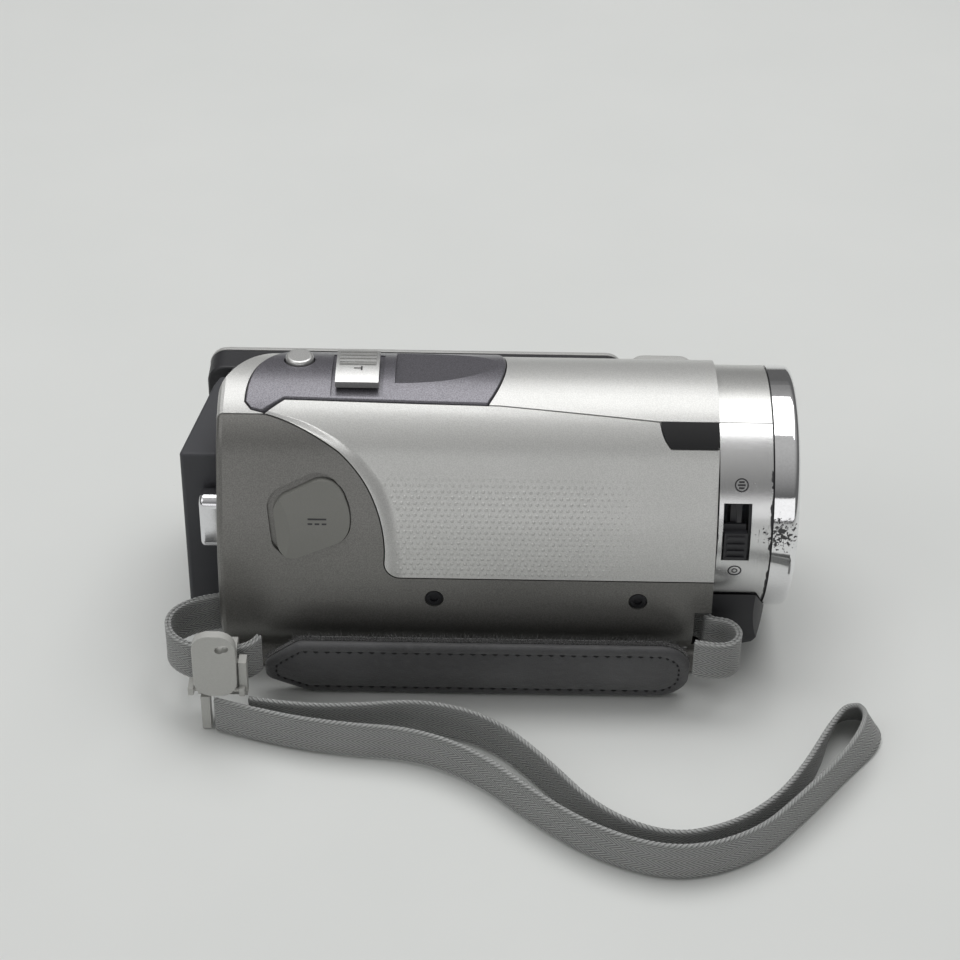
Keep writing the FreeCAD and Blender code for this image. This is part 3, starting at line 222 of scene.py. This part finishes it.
def plastic(name, colour, roughness=0.5, grain=6.0, relief=0.03):
    shader = Shader(name)
    texture = shader.noise(grain, 3.0)
    patches = shader.noise(0.08, 3.0)
    tone = shader.blend(texture, scaled(colour, 0.88), scaled(colour, 1.12))
    shader.set(base_color=shader.blend(shader.range(patches, 0.0, 0.25), tone, scaled(colour, 1.35)))
    shader.set(roughness=shader.range(patches, roughness - 0.06, roughness + 0.08))
    shader.bump(texture, relief, 0.6)
    return shader


def metal(name, colour, roughness=0.25, stretch=(1.0, 1.0, 1.0), scratch=0.02):
    shader = Shader(name)
    lines = shader.noise(2.0, 4.0, stretch=stretch)
    smears = shader.noise(0.12, 3.0)
    shader.set(base_color=shader.blend(lines, scaled(colour, 0.9), scaled(colour, 1.05)), metallic=1.0)
    shader.set(roughness=shader.range(smears, roughness * 0.8, roughness * 1.3))
    shader.bump(lines, scratch, 0.5)
    return shader


def coated_glass(name, colour):
    shader = Shader(name)
    smudge = shader.noise(0.2, 3.0)
    shader.set(base_color=shader.blend(smudge, colour, scaled(colour, 1.4)), transmission_weight=0.85)
    shader.set(roughness=shader.range(smudge, 0.02, 0.08), ior=1.5)
    return shader


def add_wear(shader, spots, groove=None):
    """Plating worn through to dark, rough islands: flakes, scratches, and streaks beside a groove.

    A spot is (centre, reach, flaking, scratching); a groove is (x, reach, worn below z, clean above z).
    """
    grit = shader.noise(1.7, 7.0)
    scratch = shader.noise(1.0, 3.0, stretch=(7.0, 0.35, 0.35))
    amount = None
    for centre, reach, flaking, scratching in spots:
        nearness = shader.step(shader.vector("DISTANCE", shader.place, centre), reach, 0.0)
        patch = shader.sum("ADD", grit, shader.sum("MULTIPLY", nearness, flaking))
        fine = shader.sum("ADD", scratch, shader.sum("MULTIPLY", nearness, scratching))
        flake = shader.sum("MAXIMUM", shader.step(patch, 0.77, 0.83), shader.step(fine, 0.78, 0.82))
        amount = flake if amount is None else shader.sum("MAXIMUM", amount, flake)
    if groove:
        middle, reach, worn_below, clean_above = groove
        x, _, z = shader.axes()
        beside = shader.step(shader.sum("ABSOLUTE", shader.sum("SUBTRACT", x, middle)), reach, 0.0)
        low = shader.step(z, clean_above, worn_below)
        streak = shader.noise(1.2, 5.0, stretch=(1.0, 1.0, 0.3))
        line = shader.sum("ADD", streak, shader.sum("MULTIPLY", shader.sum("MULTIPLY", beside, low), 0.36))
        amount = shader.sum("MAXIMUM", amount, shader.step(line, 0.74, 0.79))
    clean = shader.surface.inputs["Base Color"].links[0].from_socket
    shader.set(base_color=shader.blend(amount, clean, (0.06, 0.06, 0.063)))
    shader.set(metallic=shader.range(amount, 1.0, 0.3))
    smooth = shader.surface.inputs["Roughness"].links[0].from_socket
    shader.set(roughness=shader.sum("ADD", smooth, shader.range(amount, 0.0, 0.45), clamp=True))
    shader.bump(amount, -0.06)
    return shader


def webbing(name, colour):
    """Herringbone weave in the piece's own length and height, millimetres from its UV map."""
    shader = Shader(name)
    uv = shader.node("ShaderNodeUVMap")
    uv.uv_map = "weave"
    along, across, _ = shader.axes(uv.outputs[0])
    row, thread = 1.37, 0.95
    zigzag = shader.sum("MULTIPLY", shader.sum("PINGPONG", across, row), 1.8)
    slanted = shader.sum("ADD", along, zigzag)
    ridge = shader.sum("DIVIDE", shader.sum("PINGPONG", slanted, thread / 2), thread / 2)
    strand = shader.step(ridge, 0.12, 0.62)
    fibres = shader.noise(7.0, 3.0)
    worn = shader.noise(0.12, 3.0)
    tone = shader.blend(strand, scaled(colour, 0.30), scaled(colour, 1.35))
    tone = shader.blend(shader.range(fibres, 0.0, 0.4), tone, scaled(colour, 0.9))
    edge = shader.sum("ABSOLUTE", shader.sum("SUBTRACT", across, WEB_WIDTH / 2))
    # Painted highlight: both rolled edges of the band are painted lighter, standing in for light caught by
    # the selvedges.
    edge_highlight = shader.step(edge, 3.5, 3.9)
    tone = shader.blend(shader.sum("MULTIPLY", edge_highlight, 0.6), tone, scaled(colour, 1.7))
    shader.set(base_color=shader.blend(shader.range(worn, 0.0, 0.3), tone, scaled(colour, 1.3)))
    shader.set(roughness=shader.range(fibres, 0.72, 0.92), sheen_weight=0.35, sheen_roughness=0.5)
    shader.bump(strand, 0.2)
    shader.bump(fibres, 0.05, 0.6)
    return shader


def leather(name, colour):
    shader = Shader(name)
    pores = shader.cells(3.4)
    folds = shader.noise(0.55, 5.0)
    worn = shader.noise(0.05, 3.0)
    tone = shader.blend(shader.step(pores, 0.0, 0.5), scaled(colour, 0.7), scaled(colour, 1.1))
    tone = shader.blend(shader.step(folds, 0.5, 0.72), tone, scaled(colour, 1.35))
    shader.set(base_color=shader.blend(shader.step(worn, 0.45, 0.7), tone, scaled(colour, 1.5)))
    shader.set(roughness=shader.range(folds, 0.5, 0.68), sheen_weight=0.15, sheen_roughness=0.5)
    shader.bump(shader.step(pores, 0.0, 0.5), 0.07, 0.7)
    shader.bump(folds, 0.35, 0.6)
    return shader


def fuzz(name, colour):
    shader = Shader(name)
    fibres = shader.noise(4.0, 6.0)
    shader.set(base_color=shader.blend(fibres, scaled(colour, 0.4), scaled(colour, 2.2)))
    shader.set(roughness=0.95, sheen_weight=0.6, sheen_roughness=0.6)
    shader.bump(fibres, 0.4)
    return shader


def grip_paint(name, colour):
    """Silver paint with a bevelled band inside the swept rear edge of the grip panel."""
    shader = metallic_paint(name, colour)
    x, _, z = shader.axes()
    curve = shader.node("ShaderNodeFloatCurve")
    line = curve.mapping.curves[0]
    low, high, left, right = 24.0, 52.0, -42.0, -14.0
    sweep = ((24.2, -16.9), (30.0, -17.4), (39.3, -19.6), (44.0, -22.9), (47.0, -26.2), (49.8, -31.8),
             (51.6, -39.4))
    spots = [((height - low) / (high - low), (place - left) / (right - left)) for height, place in sweep]
    line.points[0].location = spots[0]
    line.points[1].location = spots[-1]
    for spot in spots[1:-1]:
        line.points.new(*spot)
    curve.mapping.update()
    share = shader.sum("DIVIDE", shader.sum("SUBTRACT", z, low), high - low)
    shader.put(curve.inputs["Value"], share)
    edge = shader.sum("ADD", shader.sum("MULTIPLY", curve.outputs[0], right - left), left)
    inside = shader.sum("SUBTRACT", x, edge)
    band = shader.step(inside, 0.0, 3.4)
    shader.bump(band, -1.1)
    return shader


SILVER = (0.60, 0.60, 0.585)
STEEL = (0.55, 0.55, 0.56)


def make_materials():
    """Every material by name."""
    look = {
        "silver": metallic_paint("silver", SILVER),
        "grip": grip_paint("grip", SILVER),
        "dark": metallic_paint("dark", (0.2, 0.197, 0.187), 0.4, 0.65, 0.14, 0.1),
        "panel": metallic_paint("panel", (0.165, 0.16, 0.18), 0.34, 0.5, 0.25, 0.3),
        "gloss": plastic("gloss", (0.016, 0.016, 0.017), 0.2, 3.0, 0.004),
        "black": plastic("black", (0.022, 0.022, 0.025), 0.45),
        "battery": plastic("battery", (0.045, 0.046, 0.052), 0.55, 5.0, 0.05),
        "grey": plastic("grey", (0.195, 0.195, 0.18), 0.5),
        "buckle": plastic("buckle", (0.42, 0.42, 0.4), 0.42, 4.0, 0.02),
        "sleeve": metal("sleeve", (0.72, 0.72, 0.72), 0.24, (9.0, 0.15, 0.15), 0.02),
        "crown": metallic_paint("crown", scaled(SILVER, 1.08), 0.32, 0.7),
        "chrome": metal("chrome", (0.86, 0.86, 0.87), 0.06, scratch=0.004),
        "key": metal("key", (0.8, 0.8, 0.82), 0.12, scratch=0.006),
        "lever": metallic_paint("lever", (0.62, 0.62, 0.61), 0.3, 0.7),
        "steel": metal("steel", STEEL, 0.3, (1.0, 6.0, 1.0)),
        "screw": metal("screw", (0.08, 0.08, 0.085), 0.35),
        "brass": metal("brass", (0.75, 0.55, 0.25), 0.25),
        "board": plastic("board", (0.01, 0.09, 0.035), 0.4, 2.0, 0.05),
        "glass": coated_glass("glass", (0.55, 0.62, 0.72)),
        "screen": plastic("screen", (0.004, 0.004, 0.006), 0.08, 1.0, 0.001),
        "webbing": webbing("webbing", (0.27, 0.275, 0.27)),
        "leather": leather("leather", (0.052, 0.052, 0.054)),
        "fuzz": fuzz("fuzz", (0.008, 0.008, 0.008)),
        "thread": plastic("thread", (0.012, 0.012, 0.013), 0.8, 8.0, 0.05),
        "print": plastic("print", (0.03, 0.03, 0.032), 0.5, 6.0, 0.01),
    }
    add_wear(look["chrome"], (((54.6, -21.7, 34.2), 6.6, 0.36, 0.16),))
    beside_slot = (((43.8, -22.6, 32.5), 6.0, 0.06, 0.2), ((52.2, -22.0, 34.0), 5.0, 0.22, 0.16))
    add_wear(look["sleeve"], beside_slot, (53.0, 0.8, 43.0, 47.0))
    return {name: shader.material for name, shader in look.items()}


NODE_LOOK = {
    "silver": ("top_cover", "lcd_cover", "hinge_cover"),
    "grip": ("grip_cover",),
    "dark": ("side_cover",),
    "panel": ("control_panel",),
    "gloss": ("accent_window",),
    "black": ("bay_wall", "base_plate", "rear_frame", "front_frame", "chin", "lcd_frame", "front_bezel",
              "ring_seal", "lens_switch", "blade_carrier", "lens_barrel", "card_door", "battery_latch",
              "card_holder", "mode_button", "power_button"),
    "battery": ("battery",),
    "grey": ("dc_cover",),
    "buckle": ("buckle_frame", "buckle_lever"),
    "sleeve": ("lens_hood_lower",),
    "crown": ("lens_hood_upper",),
    "chrome": ("chrome_ring",),
    "key": ("record_button",),
    "lever": ("zoom_lever", "snapshot_button"),
    "steel": ("strap_bars", "hinge_pin", "tripod_bush", "chassis", "cover_blade_upper", "cover_blade_lower",
              "hinge_arm", "zoom_motor", "speaker"),
    "screw": ("case_screws",),
    "brass": ("battery_contacts", "dc_jack"),
    "board": ("main_board", "sensor_board", "lcd_module", "memory_card"),
    "glass": ("front_element", "zoom_group", "focus_group"),
    "screen": ("lcd_glass",),
}


def paint_nodes():
    for look, names in NODE_LOOK.items():
        for name in names:
            data = NODES[name].data
            data.materials.clear()
            data.materials.append(LOOK[look])


# ---------------------------------------------------------------- pieces
def new_piece(name, mesh, look, body="case"):
    piece = bpy.data.objects.new(name, mesh)
    bpy.context.scene.collection.objects.link(piece)
    mesh.materials.append(LOOK[look])
    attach(piece, body)
    return piece


def from_bmesh(name, work, smooth=True):
    mesh = bpy.data.meshes.new(name)
    bmesh.ops.recalc_face_normals(work, faces=work.faces)
    work.to_mesh(mesh)
    work.free()
    for polygon in mesh.polygons:
        polygon.use_smooth = smooth
    return mesh


def smooth_line(name, points):
    """Points along the NURBS spline that the route's points control."""
    data = bpy.data.curves.new(name, "CURVE")
    data.dimensions = "3D"
    data.resolution_u = 24
    line = data.splines.new("NURBS")
    line.points.add(len(points) - 1)
    for target, point in zip(line.points, points):
        target.co = (*point, 1.0)
    line.order_u = 3
    line.use_endpoint_u = True
    holder = bpy.data.objects.new(name, data)
    bpy.context.scene.collection.objects.link(holder)
    mesh = bpy.data.meshes.new_from_object(holder)
    places = [vertex.co.copy() for vertex in mesh.vertices]
    bpy.data.objects.remove(holder)
    return places


def spaced(points, gap):
    """The same line with its points at an even spacing."""
    lengths = [0.0]
    for before, after in zip(points[:-1], points[1:]):
        lengths.append(lengths[-1] + (after - before).length)
    count = max(2, round(lengths[-1] / gap))
    result, index = [], 0
    for step in range(count + 1):
        target = lengths[-1] * step / count
        while index < len(points) - 2 and lengths[index + 1] < target:
            index += 1
        span = lengths[index + 1] - lengths[index]
        share = (target - lengths[index]) / span if span else 0.0
        result.append(points[index].lerp(points[index + 1], share))
    return result, lengths[-1]


def band_section(width, thickness):
    """Half-height and half-thickness offsets round a flat woven band with rolled edges."""
    steps = 8
    side = [(-1 + 2 * step / steps) for step in range(steps + 1)]
    plump = [1.0 if abs(rise) > 0.8 else 0.86 for rise in side]
    near = [(rise * (width - thickness) / 2, thickness / 2 * full) for rise, full in zip(side, plump)]
    top, foot = (width / 2, 0.0), (-width / 2, 0.0)
    far = [(rise, -out) for rise, out in reversed(near)]
    return near + [top] + far + [foot]


def make_band(name, points, width, thickness, lean=None, side_shift=0.0):
    """Webbing on edge: a rolled-edge section carried along a level line, with a scalloped selvedge."""
    line, length = spaced(points, 0.35 * MM)
    section = band_section(width, thickness)
    work = bmesh.new()
    weave = work.loops.layers.uv.new("weave")
    stitch = 0.9 * MM
    rings = []
    for index, place in enumerate(line):
        before, after = line[max(0, index - 1)], line[min(len(line) - 1, index + 1)]
        way = (after - before).normalized()
        out = Vector((-way.y, way.x, 0.0)).normalized()
        along = length * index / (len(line) - 1)
        tilt = lean(along / length) if lean else 0.0
        up = Vector((0, 0, 1)) * math.cos(tilt) + out * math.sin(tilt)
        flat = out * math.cos(tilt) - Vector((0, 0, 1)) * math.sin(tilt)
        scallop = 0.14 * MM * abs(math.sin(math.pi * along / stitch))
        drop = width / 2 * (1 - math.cos(tilt))
        ring = []
        for rise, depth in section:
            edge = abs(rise) > width / 2 - thickness
            reach = rise + math.copysign(scallop, rise) * edge - math.copysign(0.14 * MM, rise) * edge
            spot = place + up * reach + flat * (depth + side_shift) - Vector((0, 0, drop))
            ring.append(work.verts.new(spot))
        rings.append((ring, along))
    count = len(section)
    for (first, start), (second, stop) in zip(rings[:-1], rings[1:]):
        for index in range(count):
            following = (index + 1) % count
            face = work.faces.new((first[index], first[following], second[following], second[index]))
            rises = (section[index][0], section[following][0], section[following][0], section[index][0])
            for loop, along, rise in zip(face.loops, (start, start, stop, stop), rises):
                loop[weave].uv = (along / MM, (rise + width / 2) / MM)
    work.faces.new(rings[0][0])
    work.faces.new(list(reversed(rings[-1][0])))
    return from_bmesh(name, work), line, length


WRIST_MIDDLE = 4.3
WRIST_ROUTE = (
    (-47.6, -39.2), (-37.0, -42.9), (-24.5, -45.4), (-11.0, -46.4), (0.5, -52.2), (10.4, -62.4),
    (21.6, -71.4), (35.0, -76.0), (48.4, -71.2), (57.6, -61.0), (64.8, -52.0), (70.8, -43.6),
    (72.8, -38.4), (70.8, -34.6), (66.4, -36.2), (64.2, -42.0), (59.2, -52.8), (52.6, -62.6),
    (43.8, -69.6), (33.0, -72.4), (21.2, -66.0), (12.4, -53.6), (2.6, -42.6), (-10.0, -38.6),
    (-22.4, -40.3), (-33.0, -40.4), (-41.4, -38.8))


def eye_lean(share):
    """The webbing tips over as it turns in the narrow eye."""
    return 0.55 * math.exp(-((share - 0.512) / 0.035) ** 2)


def make_wrist_strap():
    route = millimetres([(x, y, WRIST_MIDDLE) for x, y in WRIST_ROUTE])
    points = smooth_line("wrist_line", route)
    mesh, line, length = make_band("wrist_strap_band", points, WEB_WIDTH * MM, 1.0 * MM, lean=eye_lean)
    strap = new_piece("wrist_strap_band", mesh, "webbing")
    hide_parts("wrist_strap")


STRAP_MIDDLE = 12.5
FRONT_WEB = ((40.3, -19.5), (42.4, -20.0), (42.4, -24.2), (46.9, -24.6), (48.6, -29.0), (45.0, -32.6),
             (39.7, -31.0))
REAR_WEB = ((-46.9, -19.3), (-52.0, -20.2), (-57.2, -24.6), (-56.6, -31.0), (-51.0, -34.8), (-41.5, -34.8),
            (-39.9, -31.2))


def make_hand_webbing():
    """Two layers of webbing side by side at each end of the hand strap."""
    for end, route in (("front", FRONT_WEB), ("rear", REAR_WEB)):
        points = smooth_line(end + "_line", millimetres([(x, y, STRAP_MIDDLE) for x, y in route]))
        for layer, shift in (("outer", -0.31), ("inner", 0.31)):
            name = "%s_web_%s" % (end, layer)
            mesh, _, _ = make_band(name, points, WEB_WIDTH * MM, 0.56 * MM, side_shift=shift * MM)
            band = new_piece(name, mesh, "webbing")
            if layer == "outer":
                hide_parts(end + "_strap")


# ---------------------------------------------------------------- hand pad
PAD_LENGTH, PAD_HEIGHT = 78.5, 15.0
PAD_FOOT = Vector((0.0, -26.9, 0.95))
PAD_TILT = math.radians(15.0)
PAD_HALF = PAD_LENGTH / 2
PAD_TAPER = 8.0
LINING_FIBRES = 7000
# Corners of the pad as (length, height, radius): square at the lens end, tapered at the buckle end.
PAD_CORNERS = (
    (PAD_HALF, 0.0, 6.0), (PAD_HALF, PAD_HEIGHT, 6.0), (6.5 - PAD_HALF, PAD_HEIGHT, 2.0),
    (-PAD_HALF, 8.8, 2.0), (-PAD_HALF, 4.4, 2.0), (PAD_TAPER - PAD_HALF, 0.0, 2.0))


def pad_place(x, rise, depth):
    """From the pad's own length, height and depth (outwards) to the row frame, millimetres in, metres out."""
    y = -depth * math.cos(PAD_TILT) - rise * math.sin(PAD_TILT)
    z = rise * math.cos(PAD_TILT) - depth * math.sin(PAD_TILT)
    return (PAD_FOOT + Vector((x, y, z))) * MM


def pad_outline(inset, count=240):
    """The pad's rounded outline drawn in towards its middle line, as evenly spread points."""
    dense = []
    for index, (x, rise, radius) in enumerate(PAD_CORNERS):
        here = Vector((x, rise, 0.0))
        before = (Vector((*PAD_CORNERS[index - 1][:2], 0.0)) - here).normalized()
        after = (Vector((*PAD_CORNERS[(index + 1) % len(PAD_CORNERS)][:2], 0.0)) - here).normalized()
        half = before.angle(after) / 2
        centre = here + (before + after).normalized() * radius / math.sin(half)
        reach = radius / math.tan(half)
        first, last = here + before * reach - centre, here + after * reach - centre
        dense += [centre + first.lerp(last, step / 12).normalized() * radius for step in range(13)]
    even, _ = spaced(dense + dense[:1], 1.0)
    even, _ = spaced(dense + dense[:1], sum((b - a).length for a, b in zip(even[:-1], even[1:])) / count)
    middle = PAD_HEIGHT / 2
    outline = []
    for point in even[:-1]:
        spine = Vector((min(max(point.x, PAD_TAPER - PAD_HALF), PAD_HALF - middle), middle, 0.0))
        moved = point.lerp(spine, inset / middle)
        outline.append((moved.x, moved.y))
    return outline


def make_pad():
    """Stuffed leather pad: turned edge, stitched channel and a crowned middle."""
    profile = ((0.35, 0.2), (0.05, 0.7), (0.1, 1.2), (0.45, 1.55), (1.1, 1.68), (1.7, 1.62), (2.0, 1.5),
               (2.3, 1.62), (3.2, 1.95), (4.6, 2.22), (6.0, 2.36), (7.1, 2.4))
    work = bmesh.new()
    rings = []
    for inset, depth in profile:
        outline = pad_outline(inset)
        rings.append([work.verts.new(pad_place(x, rise, depth)) for x, rise in outline])
    for first, second in zip(rings[:-1], rings[1:]):
        for index in range(len(first)):
            following = (index + 1) % len(first)
            work.faces.new((first[index], first[following], second[following], second[index]))
    work.faces.new(rings[0])
    work.faces.new(rings[-1])
    bmesh.ops.triangulate(work, faces=[face for face in work.faces if len(face.verts) > 4])
    pad = new_piece("pad_leather", from_bmesh("pad_leather", work), "leather")
    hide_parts("hand_pad")


def make_stitches():
    """Short thread runs sunk in the pad's channel."""
    work = bmesh.new()
    outline = pad_outline(2.0, 170)
    out = (pad_place(0, 0, 1) - pad_place(0, 0, 0)).normalized()
    for start in range(0, len(outline) - 1, 2):
        ends = [pad_place(x, rise, 1.52) for x, rise in outline[start:start + 2]]
        middle = (ends[0] + ends[1]) / 2 + out * 0.16 * MM
        side = (ends[1] - ends[0]).normalized().cross(out)
        rings = []
        for place, radius in ((ends[0], 0.05), (ends[0].lerp(middle, 0.5), 0.15), (middle, 0.19),
                              (ends[1].lerp(middle, 0.5), 0.15), (ends[1], 0.05)):
            turns = [math.tau * turn / 6 for turn in range(6)]
            spots = [place + (side * math.cos(turn) + out * math.sin(turn)) * radius * MM for turn in turns]
            rings.append([work.verts.new(spot) for spot in spots])
        for a, b in zip(rings[:-1], rings[1:]):
            for index in range(6):
                work.faces.new((a[index], a[(index + 1) % 6], b[(index + 1) % 6], b[index]))
    stitches = new_piece("pad_stitches", from_bmesh("pad_stitches", work), "thread")


def make_lining():
    """Fuzzy lining behind the pad: long fibres stand up along its top edge, short ones elsewhere."""
    spread = random.Random(7)
    work = bmesh.new()
    layers = []
    for depth, inset in ((-1.1, 0.7), (-0.6, 0.15), (0.0, 0.3)):
        layers.append([work.verts.new(pad_place(x, rise, depth)) for x, rise in pad_outline(inset)])
    work.faces.new(layers[0])
    work.faces.new(layers[-1])
    for first, second in zip(layers[:-1], layers[1:]):
        for index in range(len(first)):
            following = (index + 1) % len(first)
            work.faces.new((first[index], first[following], second[following], second[index]))
    roots = pad_outline(0.25)
    for _ in range(LINING_FIBRES):
        x, rise = spread.choice(roots)
        base = pad_place(x + spread.uniform(-0.2, 0.2), rise, spread.uniform(-1.0, -0.05))
        away = Vector((x / PAD_LENGTH * 0.6, spread.uniform(-0.4, 0.4), (rise - PAD_HEIGHT / 2) / PAD_HEIGHT))
        if rise < 1.0:
            away.z = -0.1
        scatter = Vector([spread.uniform(-0.45, 0.45) for _ in range(3)])
        longest = 1.1 if rise > PAD_HEIGHT - 1 else 0.45
        tip = base + (away.normalized() + scatter) * spread.uniform(0.2, longest) * MM
        thick = Vector([spread.uniform(-1, 1) for _ in range(3)]) * 0.05 * MM
        work.faces.new([work.verts.new(spot) for spot in (base - thick, base + thick, tip)])
    lining = new_piece("pad_lining_fuzz", from_bmesh("pad_lining_fuzz", work, smooth=False), "fuzz")
    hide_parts("pad_lining")


# ---------------------------------------------------------------- small raised and printed detail
def tree_of(node):
    data = NODES[node].data
    faces = [tuple(face.vertices) for face in data.polygons]
    return BVHTree.FromPolygons([vertex.co for vertex in data.vertices], faces)


def add_dome(work, place, normal, radius, height):
    """Low round bump standing on a surface."""
    side = normal.orthogonal().normalized()
    other = normal.cross(side)
    rings = []
    for share, rise in ((1.0, -0.15), (0.72, 0.62), (0.34, 0.93)):
        turns = [math.tau * turn / 8 for turn in range(8)]
        spots = [place + (side * math.cos(turn) + other * math.sin(turn)) * radius * share
                 + normal * height * rise for turn in turns]
        rings.append([work.verts.new(spot) for spot in spots])
    for first, second in zip(rings[:-1], rings[1:]):
        for index in range(8):
            work.faces.new((first[index], first[(index + 1) % 8], second[(index + 1) % 8], second[index]))
    work.faces.new(rings[-1])


def make_grip_dots():
    """Hexagonal field of low bumps on the grip, growing smaller towards the lens."""
    surface = tree_of("grip_cover")
    pitch, row_pitch = 1.23, 1.23 * math.sqrt(3) / 2
    work = bmesh.new()
    rise, row = 25.3, 0
    while rise < 43.6:
        left = -14.0 - max(0.0, rise - 34.0) ** 2 * 0.045
        x = math.floor(left / pitch) * pitch + (row % 2) * pitch / 2
        while x < 36.0:
            hit = surface.ray_cast(Vector((x, -60.0, rise)) * MM, Vector((0, 1, 0)))
            if hit[0] is not None:
                fade = min(1.0, (43.9 - rise) / 4.0)
                shrink = min(1.0, (38.0 - x) / 20.0)
                add_dome(work, hit[0], hit[1], 0.36 * MM * shrink, 0.12 * MM * fade * shrink)
            x += pitch
        rise += row_pitch * 0.94
        row += 1
    dots = new_piece("grip_dots", from_bmesh("grip_dots", work), "silver")


PRINT_RADIUS = 22.63    # a hair outside the sleeve


def ring_place(x, angle, out):
    """Point on the lens ring: angle in degrees above the grip-side horizontal."""
    turn = math.radians(angle)
    return Vector((x, -out * math.cos(turn), LENS_HEIGHT + out * math.sin(turn))) * MM


def printed_ring(work, x, angle, radius, width):
    """Thin printed circle wrapped on the sleeve."""
    count = 40
    rings = []
    for reach in (radius - width / 2, radius + width / 2):
        ring = []
        for step in range(count):
            turn = math.tau * step / count
            swing = math.degrees(reach * math.sin(turn) / PRINT_RADIUS)
            ring.append(work.verts.new(ring_place(x + reach * math.cos(turn), angle + swing, PRINT_RADIUS)))
        rings.append(ring)
    for index in range(count):
        following = (index + 1) % count
        work.faces.new((rings[0][index], rings[0][following], rings[1][following], rings[1][index]))


def printed_bar(work, x, angle, size):
    """Printed rectangle wrapped on the sleeve: size along X and round the ring."""
    half = math.degrees(size[1] / 2 / PRINT_RADIUS)
    near, far = x - size[0] / 2, x + size[0] / 2
    steps = 6
    for step in range(steps):
        low = angle - half + 2 * half * step / steps
        high = low + 2 * half / steps
        spots = ((near, low), (far, low), (far, high), (near, high))
        work.faces.new([work.verts.new(ring_place(place, turn, PRINT_RADIUS)) for place, turn in spots])


def make_ring_marks():
    """Open and shut marks either side of the lens cover switch."""
    work = bmesh.new()
    printed_ring(work, 47.2, 35.5, 1.15, 0.26)
    printed_bar(work, 47.2, 35.5, (1.4, 0.35))
    printed_bar(work, 47.2, 36.9, (1.0, 0.35))
    printed_bar(work, 47.2, 34.1, (1.0, 0.35))
    printed_ring(work, 46.8, -8.5, 1.15, 0.26)
    printed_ring(work, 46.8, -8.5, 0.45, 0.2)
    marks = new_piece("ring_marks", from_bmesh("ring_marks", work), "print")


def flat_strokes(work, surface, strokes, origin, along, up):
    """Printed strokes laid on a surface: each a (start, end, width) in the mark's own plane, millimetres."""
    outward = along.cross(up).normalized()
    for start, end, width in strokes:
        first = (origin + along * start[0] + up * start[1]) * MM
        second = (origin + along * end[0] + up * end[1]) * MM
        steps = max(2, round((second - first).length / (0.3 * MM)))
        side = (second - first).normalized().cross(outward) * width / 2 * MM
        rails = []
        for step in range(steps + 1):
            place = first.lerp(second, step / steps)
            pair = []
            for spot in (place - side, place + side):
                hit = surface.ray_cast(spot + outward * 4 * MM, -outward)[0] or spot
                pair.append(work.verts.new(hit + outward * 0.03 * MM))
            rails.append(pair)
        for a, b in zip(rails[:-1], rails[1:]):
            work.faces.new((a[0], a[1], b[1], b[0]))


def make_marks():
    """Direct-current symbol on the socket cover, and the tele end mark on the zoom lever."""
    symbol = [((-1.7, 0.45), (1.7, 0.45), 0.32)]
    symbol += [((left, -0.45), (left + 0.85, -0.45), 0.32) for left in (-1.7, -0.42, 0.86)]
    work = bmesh.new()
    forward = Vector((1, 0, 0))
    up_the_wall = Vector((0, 0.307, 0.952))
    flat_strokes(work, tree_of("dc_cover"), symbol, Vector((-29.4, -21.6, 35.2)), forward, up_the_wall)
    mark = new_piece("dc_mark", from_bmesh("dc_mark", work), "print", "dc_flap")
    letter = [((-0.7, 0.0), (0.7, 0.0), 0.3), ((0.7, -0.6), (0.7, 0.6), 0.3)]
    work = bmesh.new()
    flat_strokes(work, tree_of("zoom_lever"), letter, Vector((-22.6, -2.2, 56.0)), forward, Vector((0, 1, 0)))
    mark = new_piece("tele_mark", from_bmesh("tele_mark", work), "print", "zoom_rocker")


# ---------------------------------------------------------------- floor
def make_floor():
    work = bmesh.new()
    bmesh.ops.create_grid(work, x_segments=24, y_segments=24, size=3.0)
    floor = bpy.data.objects.new("floor", from_bmesh("floor", work))
    bpy.context.scene.collection.objects.link(floor)
    shader = Shader("paper")
    cloud = shader.noise(0.02, 3.0)
    fleck = shader.noise(2.5, 4.0)
    tone = shader.blend(cloud, (0.72, 0.735, 0.72), (0.77, 0.78, 0.765))
    shader.set(base_color=shader.blend(shader.step(fleck, 0.72, 0.78), tone, (0.62, 0.62, 0.61)))
    shader.set(roughness=0.8)
    floor.data.materials.append(shader.material)


# ---------------------------------------------------------------- build
make_camera()
make_light()
LOOK = make_materials()
make_wrist_strap()
paint_nodes()
make_hand_webbing()
make_pad()
make_stitches()
make_lining()
make_grip_dots()
make_ring_marks()
make_marks()
make_floor()
